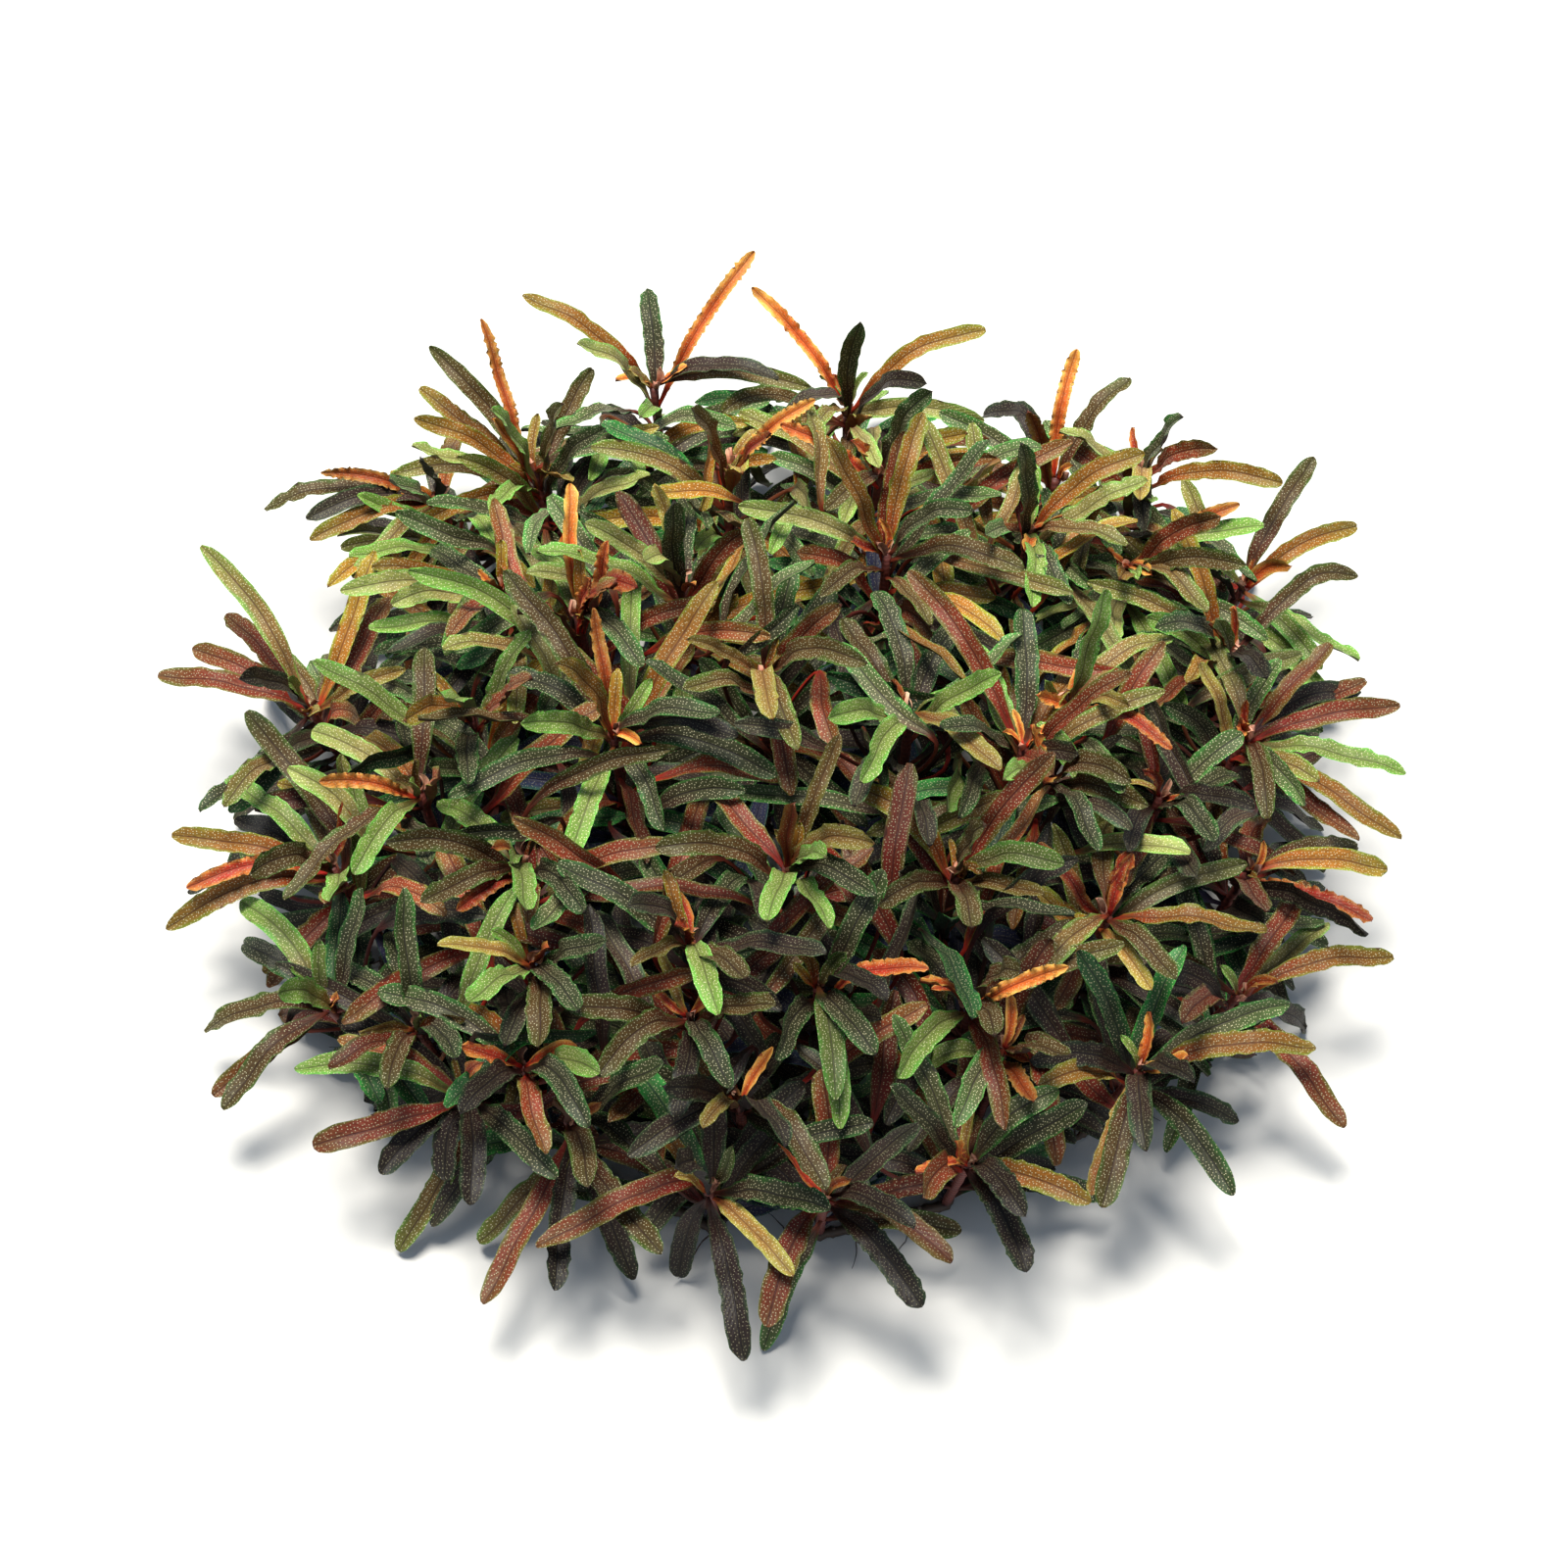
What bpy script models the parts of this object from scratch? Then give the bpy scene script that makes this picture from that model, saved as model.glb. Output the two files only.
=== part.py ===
"""A dense cushion of bucephalandra as picked: creeping rhizomes, and upright shoots with strap-shaped leaves."""

import math
import random

import bpy
from mathutils import Quaternion, Vector
from mathutils.bvhtree import BVHTree
from mathutils.geometry import intersect_ray_tri

# Driving dimensions, in metres.
CUSHION_RADIUS = 0.152
CROWN_HEIGHT = 0.064
RIM_HEIGHT = 0.009
LEAF_LENGTH = 0.042
LONGEST_LEAF = 0.056
LEAF_WIDTH = 0.0065
LEAF_THICKNESS = 0.0008
PETIOLE_WIDTH = 0.0017
STEM_RADIUS = 0.0014
COLLAR_LENGTH = 0.0035
# The lower collar stands at this share of the stem's height.
LOW_COLLAR_SHARE = 0.45
RHIZOME_WIDTH = 0.0036
RHIZOME_HEIGHT = 0.0028
RHIZOME_END = 0.008
GAP = 0.0003
CLEARANCE = 0.00035
FLOOR_CLEARANCE = 0.0015
# A shoot leans outwards: its foot stands at this share of its crown's distance from the middle.
FOOT_SHARE = 0.9
SECTORS = 8
STEM_SIDES = 3
LEAVES_A_COLLAR = 2 * STEM_SIDES
# Free seats below the crown, so that each leaf finds one that faces its own way.
SPARE_SEATS = 3
LEAVES_A_SHOOT = 7
PLACE_ATTEMPTS = 24
SEATS_TRIED = 4
# The share of a leaf's length where the strap widens, is widest and starts to narrow, with its width there.
BLADE_STATIONS = ((0.24, 0.62), (0.52, 1.00), (0.88, 0.84))

# The view that the leaves were read from: a picture 1600 pixels square.
VIEW_DISTANCE = 1.5
VIEW_ELEVATION = math.radians(52)
PIXEL_SIZE = 0.00025
PICTURE_MIDDLE = 800
LOOK_HEIGHT = 0.045

YOUNG_TONES = ("flame", "ember", "gold")
GREEN_TONES = ("lime", "olive", "sage", "moss")
GOLDEN_ANGLE = math.radians(137.5)

# Each material: its colour and its roughness.
MATERIALS = {
    "leaf_green": ((0.10, 0.13, 0.04), 0.42),
    "leaf_bronze": ((0.20, 0.09, 0.03), 0.42),
    "leaf_dark": ((0.05, 0.03, 0.03), 0.42),
    "rhizome_bark": ((0.06, 0.03, 0.02), 0.7),
}

# Each shoot: the picture place of its crown, then its leaves. Each leaf: its tone and the picture place
# of its tip. A leaf may also name the place where its blade starts ("from") or where it bends ("via").
SHOOTS = [
    ((667, 394), [
        ("bronze", 533, 301), ("moss", 660, 294), ("flame", 770, 256),
        ("olive", 828, 396, "via", 736, 364), ("dusk", 795, 385, "via", 761, 382), ("sage", 589, 350),
    ]),
    ((866, 412), [
        ("flame", 767, 293), ("moss", 878, 330), ("bronze", 1006, 337), ("dusk", 944, 391),
        ("olive", 736, 422, "via", 784, 401), ("lime", 908, 403, "from", 841, 447), ("dusk", 801, 427),
    ]),
    ((545, 480), [
        ("olive", 438, 353, "from", 499, 422), ("flame", 491, 325, "from", 522, 437), ("bronze", 428, 396),
        ("bronze", 422, 427), ("lime", 503, 417), ("sage", 420, 455), ("flame", 502, 427),
        ("olive", 572, 412), ("olive", 604, 376), ("moss", 617, 437), ("gold", 673, 435, "from", 568, 475),
        ("moss", 683, 447, "from", 594, 486),
    ]),
    ((451, 516), [
        ("olive", 269, 519, "via", 360, 496), ("flame", 327, 482), ("dusk", 428, 470), ("bronze", 469, 437),
        ("dusk", 312, 529), ("bronze", 316, 551), ("olive", 360, 590), ("lime", 510, 560),
    ]),
    ((1078, 487), [
        ("flame", 1099, 356), ("olive", 1153, 385), ("dusk", 1004, 425, "via", 1049, 419),
        ("flame", 1049, 421), ("sage", 1065, 490, "from", 1042, 534),
    ]),
    ((1165, 483), [
        ("moss", 1204, 424), ("rust", 1243, 458), ("bronze", 1309, 493), ("dusk", 1167, 542),
        ("gold", 1163, 510),
    ]),
    ((1270, 598), [
        ("olive", 1341, 466), ("bronze", 1384, 537), ("lime", 1387, 674, "from", 1307, 627),
    ]),
    ((1152, 577), [
        ("flame", 1265, 514), ("rust", 1246, 527), ("lime", 1290, 537, "from", 1217, 554),
        ("olive", 1274, 583), ("olive", 1232, 625),
    ]),
    ((1257, 665), [
        ("olive", 1386, 588, "via", 1332, 592), ("dusk", 1292, 690), ("moss", 1180, 640),
    ]),
    ((1273, 752), [
        ("rust", 1429, 720), ("ember", 1359, 658), ("rust", 1394, 695), ("dusk", 1388, 705),
        ("lime", 1435, 789), ("bronze", 1441, 862, "from", 1318, 778), ("rust", 1387, 858, "from", 1286, 785),
        ("olive", 1293, 835), ("sage", 1225, 648, "via", 1265, 678), ("gold", 1225, 676),
    ]),
    ((1275, 890), [
        ("olive", 1385, 864), ("rust", 1351, 868), ("bronze", 1416, 887), ("ember", 1401, 938),
        ("dusk", 1399, 946), ("rust", 1292, 831),
    ]),
    ((1266, 1015), [
        ("bronze", 1422, 977), ("rust", 1334, 900), ("rust", 1372, 1151), ("dusk", 1334, 1047),
        ("dusk", 1150, 996), ("olive", 1103, 976),
    ]),
    ((1163, 1092), [
        ("bronze", 1343, 1069), ("moss", 1259, 1220), ("olive", 1125, 1232), ("olive", 1301, 1029),
        ("olive", 1165, 1029), ("dusk", 1050, 1082), ("bronze", 1061, 1107), ("dusk", 1218, 1103),
        ("dusk", 1169, 1174), ("ember", 1113, 1220),
    ]),
    ((988, 1187), [
        ("bronze", 1113, 1227), ("dusk", 1048, 1298), ("dusk", 1046, 1241), ("bronze", 967, 1195),
        ("olive", 1023, 1151), ("rust", 946, 1223),
    ]),
    ((841, 1222), [
        ("ember", 971, 1289), ("dusk", 941, 1334), ("dusk", 933, 1252), ("rust", 782, 1354),
    ]),
    ((723, 1215), [
        ("gold", 809, 1301), ("dusk", 759, 1389), ("dusk", 690, 1303),
        ("rust", 547, 1273, "via", 675, 1209), ("moss", 847, 1234), ("dusk", 690, 1192),
    ]),
    ((580, 1143), [
        ("olive", 600, 1211), ("olive", 675, 1280, "from", 604, 1186), ("bronze", 493, 1331, "from", 566, 1202),
        ("dusk", 566, 1317, "from", 583, 1206),
    ]),
    ((473, 1116), [
        ("lime", 300, 1090), ("moss", 568, 1202), ("rust", 319, 1169, "via", 415, 1143),
        ("dusk", 480, 1230), ("dusk", 450, 1197), ("dusk", 388, 1198),
    ]),
    ((334, 1028), [
        ("olive", 208, 1051), ("rust", 217, 1118), ("olive", 228, 1133), ("lime", 245, 919),
        ("lime", 282, 1022), ("moss", 249, 963),
    ]),
    ((338, 886), [
        ("lime", 232, 795), ("olive", 251, 726, "from", 343, 841), ("bronze", 175, 852), ("dusk", 240, 835),
        ("ember", 190, 906), ("olive", 255, 892), ("dusk", 191, 910), ("bronze", 169, 948),
        ("lime", 336, 920),
    ]),
    ((315, 722), [
        ("rust", 161, 689), ("rust", 196, 661), ("rust", 231, 626), ("sage", 366, 616),
        ("moss", 203, 827, "from", 272, 772), ("olive", 341, 662), ("olive", 205, 557, "via", 261, 567),
        ("dusk", 242, 691), ("rust", 397, 609), ("flame", 414, 683),
    ]),
    ((428, 810), [
        ("olive", 433, 660), ("flame", 325, 797), ("lime", 360, 892), ("sage", 318, 745),
        ("olive", 290, 919), ("bronze", 372, 752),
    ]),
    ((625, 748), [
        ("olive", 513, 583), ("flame", 605, 620), ("bronze", 732, 593), ("bronze", 569, 677),
        ("lime", 531, 738), ("lime", 580, 876), ("moss", 457, 815), ("moss", 793, 792),
        ("dusk", 753, 751), ("moss", 735, 728), ("moss", 678, 848), ("moss", 518, 685),
    ]),
    ((781, 685), [
        ("olive", 763, 529), ("gold", 702, 652), ("moss", 849, 600), ("rust", 857, 618),
        ("olive", 883, 677), ("olive", 814, 766), ("gold", 788, 733),
    ]),
    ((928, 730), [
        ("olive", 860, 632), ("moss", 893, 603), ("moss", 980, 632), ("lime", 845, 733),
        ("lime", 880, 798), ("lime", 1022, 687), ("gold", 1021, 787),
    ]),
    ((694, 600), [
        ("gold", 668, 493), ("moss", 689, 514), ("moss", 704, 519), ("moss", 747, 557),
        ("sage", 597, 534), ("lime", 548, 560), ("sage", 658, 572),
    ]),
    ((905, 565), [
        ("bronze", 942, 421), ("rust", 923, 440), ("sage", 753, 517), ("moss", 992, 521),
        ("olive", 1045, 582), ("olive", 836, 610),
    ]),
    ((1048, 545), [
        ("bronze", 1168, 462), ("sage", 1170, 488), ("rust", 1013, 477), ("gold", 1022, 471, "from", 980, 515),
        ("moss", 1043, 454), ("lime", 1053, 620), ("moss", 1091, 618), ("olive", 1151, 555),
    ]),
    ((742, 478), [
        ("olive", 707, 416), ("ember", 784, 441), ("flame", 832, 408), ("lime", 788, 508),
        ("moss", 650, 505),
    ]),
    ((897, 481), [
        ("ember", 797, 433), ("olive", 842, 520), ("bronze", 985, 442), ("moss", 950, 400),
    ]),
    ((513, 605), [
        ("sage", 347, 603), ("sage", 400, 617, "via", 448, 597), ("rust", 457, 649), ("lime", 455, 670),
        ("moss", 440, 560),
    ]),
    ((480, 730), [
        ("lime", 454, 712), ("rust", 540, 690), ("moss", 478, 800), ("bronze", 415, 735),
        ("moss", 395, 690),
    ]),
    ((590, 628), [
        ("ember", 620, 552), ("flame", 582, 493), ("gold", 603, 590), ("ember", 648, 598),
        ("lime", 545, 559), ("moss", 655, 680),
    ]),
    ((1045, 762), [
        ("bronze", 1103, 678), ("lime", 996, 659), ("moss", 1043, 622), ("rust", 927, 582, "from", 980, 652),
        ("rust", 1074, 790), ("moss", 960, 740),
    ]),
    ((1090, 718), [
        ("gold", 1151, 720), ("ember", 1196, 764), ("lime", 1131, 601), ("moss", 1122, 634),
        ("lime", 1160, 680), ("olive", 1196, 649),
    ]),
    ((1068, 796), [
        ("olive", 1172, 823), ("olive", 1154, 798), ("moss", 1064, 756), ("lime", 1026, 794),
        ("moss", 1120, 870),
    ]),
    ((975, 892), [
        ("bronze", 878, 804), ("rust", 1074, 770), ("olive", 1003, 842), ("olive", 897, 924),
        ("olive", 992, 945), ("gold", 1066, 913), ("lime", 1086, 882),
    ]),
    ((803, 885), [
        ("ember", 811, 819), ("gold", 857, 749), ("lime", 782, 938), ("lime", 847, 947),
        ("lime", 841, 873), ("gold", 891, 861), ("olive", 669, 865), ("moss", 895, 915),
        ("rust", 723, 800),
    ]),
    ((705, 962), [
        ("moss", 568, 882), ("gold", 644, 987), ("olive", 761, 997), ("lime", 732, 1035),
        ("moss", 757, 892), ("dusk", 640, 925),
    ]),
    ((532, 877), [
        ("lime", 538, 928), ("lime", 511, 901), ("olive", 429, 921), ("lime", 446, 817),
        ("moss", 595, 930), ("ember", 467, 922),
    ]),
    ((540, 982), [
        ("gold", 446, 965), ("lime", 478, 1022), ("olive", 549, 1068), ("moss", 620, 960),
        ("moss", 590, 1030),
    ]),
    ((424, 1050), [
        ("moss", 397, 950), ("moss", 465, 1079), ("dusk", 500, 985), ("moss", 340, 985),
        ("olive", 395, 1110),
    ]),
    ((534, 1088), [
        ("dusk", 515, 1010), ("bronze", 452, 1031), ("lime", 612, 1095), ("moss", 600, 1150),
        ("dusk", 470, 1135),
    ]),
    ((702, 1038), [
        ("olive", 570, 1026), ("olive", 609, 1098), ("olive", 650, 1085), ("olive", 792, 1026),
        ("moss", 745, 1110), ("dusk", 690, 1140),
    ]),
    ((835, 1007), [
        ("moss", 893, 1075), ("lime", 858, 1152), ("ember", 948, 989), ("lime", 853, 1122),
        ("moss", 800, 1090), ("dusk", 905, 1020),
    ]),
    ((992, 1022), [
        ("gold", 1091, 986), ("olive", 1015, 1054), ("olive", 1040, 991), ("olive", 1097, 942),
        ("lime", 915, 1100), ("moss", 930, 960),
    ]),
    ((1024, 1072), [
        ("olive", 1091, 1075), ("flame", 1055, 1124), ("lime", 914, 1097), ("moss", 975, 1150),
        ("dusk", 1080, 1150),
    ]),
    ((1130, 935), [
        ("bronze", 1293, 952), ("gold", 1175, 1010), ("olive", 1200, 1000), ("moss", 1195, 867),
        ("ember", 1059, 861), ("olive", 1130, 829), ("olive", 1045, 1010),
    ]),
    ((755, 1125), [
        ("gold", 717, 1152), ("dusk", 680, 1110), ("moss", 839, 1188), ("olive", 843, 1215),
        ("dusk", 800, 1060), ("dusk", 640, 1180),
    ]),
    ((1185, 812), [
        ("dusk", 1280, 824), ("moss", 1240, 860), ("dusk", 1207, 770), ("moss", 1120, 780),
        ("dusk", 1150, 870), ("moss", 1265, 790),
    ]),
]


def sight_line(across, down):
    """The eye, and the direction in which it sees this place of the picture."""
    forward = Vector((0, math.cos(VIEW_ELEVATION), -math.sin(VIEW_ELEVATION)))
    upward = Vector((0, math.sin(VIEW_ELEVATION), math.cos(VIEW_ELEVATION)))
    middle = Vector((0, 0, LOOK_HEIGHT))
    eye = middle - forward * VIEW_DISTANCE
    seen = middle + upward * ((PICTURE_MIDDLE - down) * PIXEL_SIZE)
    seen.x += (across - PICTURE_MIDDLE) * PIXEL_SIZE
    return eye, (seen - eye).normalized()


def crown_level(x, y):
    """The height of the shoots' crowns over this place of the floor."""
    share = min(math.hypot(x, y) / CUSHION_RADIUS, 1)
    power = 0.70 - 0.26 * max(y, 0) / CUSHION_RADIUS
    return RIM_HEIGHT + (CROWN_HEIGHT - RIM_HEIGHT) * (1 - share * share) ** power


def crown_point(across, down):
    """Where a crown seen at this place of the picture meets the cushion's crown level, or comes nearest to it."""
    eye, way = sight_line(across, down)
    nearest = None
    for step in range(900):
        point = eye + way * (VIEW_DISTANCE - 0.25 + step * 0.0005)
        over = point.z - crown_level(point.x, point.y)
        if math.hypot(point.x, point.y) > CUSHION_RADIUS * 0.98:
            over += 1
        if nearest is None or over < nearest[0]:
            nearest = (over, point)
        if over <= 0:
            return point
    return nearest[1]


def nearest_on_line(line, place):
    eye, way = line
    return eye + way * (place - eye).dot(way)


def tip_point(base, line, length, pitch):
    """The point of a sight line that suits a leaf of this length and upward angle from the base."""
    eye, way = line
    best = None
    for step in range(300):
        point = eye + way * (VIEW_DISTANCE - 0.28 + step * 0.0018)
        reach = point - base
        if point.z < FLOOR_CLEARANCE or reach.length > LONGEST_LEAF:
            continue
        angle = math.asin(reach.z / reach.length)
        cost = ((angle - pitch) / 0.30) ** 2 + ((reach.length / 0.94 - length) / 0.006) ** 2
        if best is None or cost < best[0]:
            best = (cost, point)
    if best:
        return best[1]
    point = nearest_on_line(line, base)
    reach = point - base
    return base + reach * min(1, LONGEST_LEAF / max(reach.length, 1e-6))


def spline(knots, share):
    """The point at this share of a smooth curve through the knots."""
    spans = [(b - a).length for a, b in zip(knots, knots[1:])]
    target = share * sum(spans)
    index = 0
    while index < len(spans) - 1 and target > spans[index]:
        target -= spans[index]
        index += 1
    start = knots[index]
    end = knots[index + 1]
    local = min(max(target / spans[index], 0), 1)
    before = knots[index - 1] if index > 0 else start * 2 - end
    after = knots[index + 2] if index + 2 < len(knots) else end * 2 - start
    if index == 0 and len(knots) > 2:
        before = start * 2.5 - end * 2 + after * 0.5
    if index + 2 == len(knots) and len(knots) > 2:
        after = end * 2.5 - start * 2 + before * 0.5
    square = local * local
    cube = square * local
    return 0.5 * (
        2 * start
        + (end - before) * local
        + (2 * before - 5 * start + 4 * end - after) * square
        + (3 * start - before - 3 * end + after) * cube
    )


def leaf_frames(knots, shares, facing):
    """The point, the sideways direction and the upper face's direction at each of these shares of a leaf."""
    step = 0.03
    frames = []
    last_side = None
    for share in shares:
        tangent = (spline(knots, min(share + step, 1)) - spline(knots, max(share - step, 0))).normalized()
        side = tangent.cross(facing)
        if last_side and side.length < 0.3:
            side = side + last_side * 0.5
        side = (side - tangent * side.dot(tangent)).normalized()
        if last_side and side.dot(last_side) < 0:
            side = -side
        last_side = side
        frames.append((spline(knots, share), side, side.cross(tangent)))
    return frames


def leaf_facing(knots, roll):
    """A direction square to the leaf's chord, towards which its upper face turns."""
    chord = (knots[-1] - knots[0]).normalized()
    eye_way = Vector((0, -math.cos(VIEW_ELEVATION), math.sin(VIEW_ELEVATION)))
    hint = Vector((0, 0, 0.7)) + eye_way * 0.6
    across = hint - chord * hint.dot(chord)
    if across.length < 0.1:
        across = chord.orthogonal()
    return Quaternion(chord, roll) @ across.normalized()


def leaf_rings(knots, facing, width):
    """Three corners at each station of the leaf: its right edge, its keel and its left edge, then the tip."""
    rings = []
    shares = [share for share, _ in BLADE_STATIONS]
    for (_, wide), (point, side, upper) in zip(BLADE_STATIONS, leaf_frames(knots, shares, facing)):
        half = side * (max(width * wide, PETIOLE_WIDTH) / 2)
        lift = upper * (width * wide * 0.12)
        rings.append((point + half + lift, point - upper * LEAF_THICKNESS, point - half + lift))
    return rings, knots[-1]


def ring_faces(levels, first=0):
    """The triangles between this many rings of three corners, then those up to the tip, as indices from first."""
    faces = []
    for level in range(levels - 1):
        for corner in range(3):
            after = (corner + 1) % 3
            low = first + 3 * level
            faces.append((low + corner, low + after, low + 3 + after))
            faces.append((low + corner, low + 3 + after, low + 3 + corner))
    last = first + 3 * (levels - 1)
    for corner in range(3):
        faces.append((last + corner, last + (corner + 1) % 3, last + 3))
    return faces


def neck_faces(seat, ring, turn, leaning):
    """The triangles from a seat's three corners to a leaf's first ring: turned against it, and leaning one way."""
    faces = []
    for corner in range(3):
        low = seat[(corner + turn) % 3]
        low_after = seat[(corner + turn + 1) % 3]
        high = ring[corner]
        high_after = ring[(corner + 1) % 3]
        if leaning:
            faces.append((low, low_after, high_after))
            faces.append((low, high_after, high))
        else:
            faces.append((low, low_after, high))
            faces.append((low_after, high_after, high))
    return faces


def pierces(start, end, triangle):
    """Whether the line from start to end passes through the triangle."""
    way = end - start
    hit = intersect_ray_tri(*triangle, way, start, True)
    return hit is not None and 1e-6 < (hit - start).dot(way) / way.length_squared < 1 - 1e-6


def tree_of(triangles):
    points = [corner for triangle in triangles for corner in triangle]
    return BVHTree.FromPolygons(points, [(3 * index, 3 * index + 1, 3 * index + 2) for index in range(len(triangles))])


def cross(first, second):
    """Whether any triangle of the first list cuts one of the second. Those that share an edge don't count."""
    for one, two in tree_of(first).overlap(tree_of(second)):
        mine = first[one]
        other = second[two]
        shared = [corner for corner in mine if corner in other]
        if not shared:
            return True
        if len(shared) > 1:
            continue
        my_edge = [corner for corner in mine if corner not in shared]
        other_edge = [corner for corner in other if corner not in shared]
        if pierces(*my_edge, other) or pierces(*other_edge, mine):
            return True
    return False


class Solid:
    """A placed piece's surface with the box around it."""

    def __init__(self, owner, points, faces, spread):
        self.owner = owner
        self.tree = BVHTree.FromPolygons(points, faces, epsilon=spread)
        self.low = [min(p[axis] for p in points) - spread for axis in range(3)]
        self.high = [max(p[axis] for p in points) + spread for axis in range(3)]

    def meets(self, other):
        for axis in range(3):
            if self.low[axis] > other.high[axis] or other.low[axis] > self.high[axis]:
                return False
        return bool(self.tree.overlap(other.tree))


def stem_rings(foot, crown, collars):
    """The stem's rings from its foot to its crown, and for each stretch between two rings, its collar's number or None.

    Collar 0 is half-way up and carries the oldest leaves. The others are below the crown.
    """
    length = (crown - foot).length
    axis = (crown - foot).normalized()
    collar = min(COLLAR_LENGTH, length * 0.5 / collars)
    low = foot + axis * (length * LOW_COLLAR_SHARE - collar)
    places = [foot, low, low + axis * collar]
    kinds = [None, 0, None]
    for index in range(collars):
        places.append(crown - axis * (collar * (collars - 1 - index)))
        if index > 0:
            kinds.append(index)
    rings = []
    for level, place in enumerate(places):
        radius = STEM_RADIUS * (1.0 if level < len(places) - 1 else 0.8)
        ring = []
        for corner in range(STEM_SIDES):
            angle = math.tau * (corner + 0.5) / STEM_SIDES
            ring.append(place + Vector((math.cos(angle), math.sin(angle), 0)) * radius)
        rings.append(ring)
    return rings, kinds


def stem_mesh(rings, kinds):
    """The stem's points and faces. Each side of a collar is two triangles, and each of them can carry a leaf."""
    points = [point for ring in rings for point in ring]
    faces = [tuple(reversed(range(STEM_SIDES)))]
    seats = []
    for level, kind in enumerate(kinds):
        for corner in range(STEM_SIDES):
            after = (corner + 1) % STEM_SIDES
            low = level * STEM_SIDES
            high = low + STEM_SIDES
            halves = seats if kind is not None else faces
            halves.append((low + corner, low + after, high + corner))
            halves.append((low + after, high + after, high + corner))
    top = (len(rings) - 1) * STEM_SIDES
    points.append(sum(rings[-1], Vector()) / STEM_SIDES + Vector((0, 0, STEM_RADIUS * 2)))
    for corner in range(STEM_SIDES):
        faces.append((top + corner, top + (corner + 1) % STEM_SIDES, len(points) - 1))
    return points, faces, seats


class Shoot:
    """A stem with the seats for its leaves, and the leaves placed so far."""

    def __init__(self, index, crown_place, leaves):
        self.index = index
        self.crown = crown_point(*crown_place)
        self.named_leaves = leaves
        self.foot = Vector((self.crown.x * FOOT_SHARE, self.crown.y * FOOT_SHARE, RHIZOME_HEIGHT + GAP))
        self.collars = 1 + math.ceil((len(leaves) + SPARE_SEATS) / LEAVES_A_COLLAR)
        self.points, self.faces, self.seats = stem_mesh(*stem_rings(self.foot, self.crown, self.collars))
        self.used = {}
        self.leaves = []
        self.leaf_triangles = []
        self.missing = []
        self.solids = [Solid(index, self.points, self.faces + self.seats, CLEARANCE)]

    def corners(self, face):
        return tuple(self.points[corner].freeze() for corner in face)

    def triangles_but(self, seat):
        """All triangles of the stem and the leaves so far, but for one free seat."""
        free = [self.corners(face) for index, face in enumerate(self.seats) if index not in self.used and index != seat]
        return [self.corners(face) for face in self.faces] + free + self.leaf_triangles

    def seats_for(self, direction, upper):
        """The free seats on the upper or the lower collars, those that face this way first."""
        flat = Vector((direction.x, direction.y, 0)).normalized()
        found = []
        for index, seat in enumerate(self.seats):
            if index in self.used or upper != (index >= LEAVES_A_COLLAR):
                continue
            a, b, c = (self.points[corner] for corner in seat)
            facing = (b - a).cross(c - a).normalized()
            found.append((-facing.dot(flat), index, (a + b + c) / 3))
        found.sort(key=lambda seat: seat[:2])
        return [seat[1:] for seat in found]

    def add_leaf(self, tone, knots, facing, width, seat, triangles):
        self.used[seat] = len(self.leaves)
        self.leaves.append((tone, knots, facing, width))
        self.leaf_triangles.extend(triangles)


def preferred_pitch(shoot, direction, young):
    """The upward angle of a leaf's chord.

    Outer leaves hang towards the floor, but those at the back stand up, and so do young ones.
    """
    outwards = Vector((shoot.crown.x, shoot.crown.y, 0))
    share = outwards.length / CUSHION_RADIUS
    flat = Vector((direction.x, direction.y, 0))
    turned = outwards.normalized().dot(flat.normalized()) if flat.length and outwards.length else 0
    behind = max(shoot.crown.y / CUSHION_RADIUS, 0) * max(turned, 0)
    pitch = 0.42 - 0.75 * share * share * max(turned, 0) - 0.18 * share + 1.25 * behind
    return pitch + (0.40 if young else 0)


def fitted_leaf(shoot, seat, knots, facing, width, others, rhizomes):
    """The leaf's solid and its triangles if they meet nothing, or None."""
    rings, tip = leaf_rings(knots, facing, width)
    points = [corner for ring in rings for corner in ring] + [tip]
    if min(point.z for point in points) < FLOOR_CLEARANCE * 0.7:
        return None
    seat_corners = shoot.corners(shoot.seats[seat])
    whole = Solid(shoot.index, list(seat_corners) + points, ring_faces(len(rings) + 1), CLEARANCE)
    for other in others:
        if other is not shoot and any(whole.meets(solid) for solid in other.solids):
            return None
    if any(whole.meets(rhizome) for rhizome in rhizomes):
        return None
    fixed = [point.freeze() for point in points]
    blade = [tuple(fixed[corner] for corner in face) for face in ring_faces(len(rings))]
    rest = shoot.triangles_but(seat)
    if cross(blade, rest):
        return None
    for turn in range(3):
        for leaning in (True, False):
            neck = neck_faces(seat_corners, fixed[:3], turn, leaning)
            if not cross(neck, neck) and not cross(neck, blade) and not cross(neck, rest):
                return whole, neck + blade
    return None


def leaf_knots(base, tip, bow, middle, start):
    """The leaf's knots: its base, then the named start or bend or a middle that bows upwards, then its tip."""
    knots = [base]
    if start:
        knots.append(nearest_on_line(start, base.lerp(tip, 0.25) + Vector((0, 0, 0.003))))
    if middle:
        knots.append(nearest_on_line(middle, base.lerp(tip, 0.5) + Vector((0, 0, bow))))
    elif not start:
        knots.append(base.lerp(tip, 0.45) + Vector((0, 0, bow)))
    knots.append(tip)
    return knots


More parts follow.
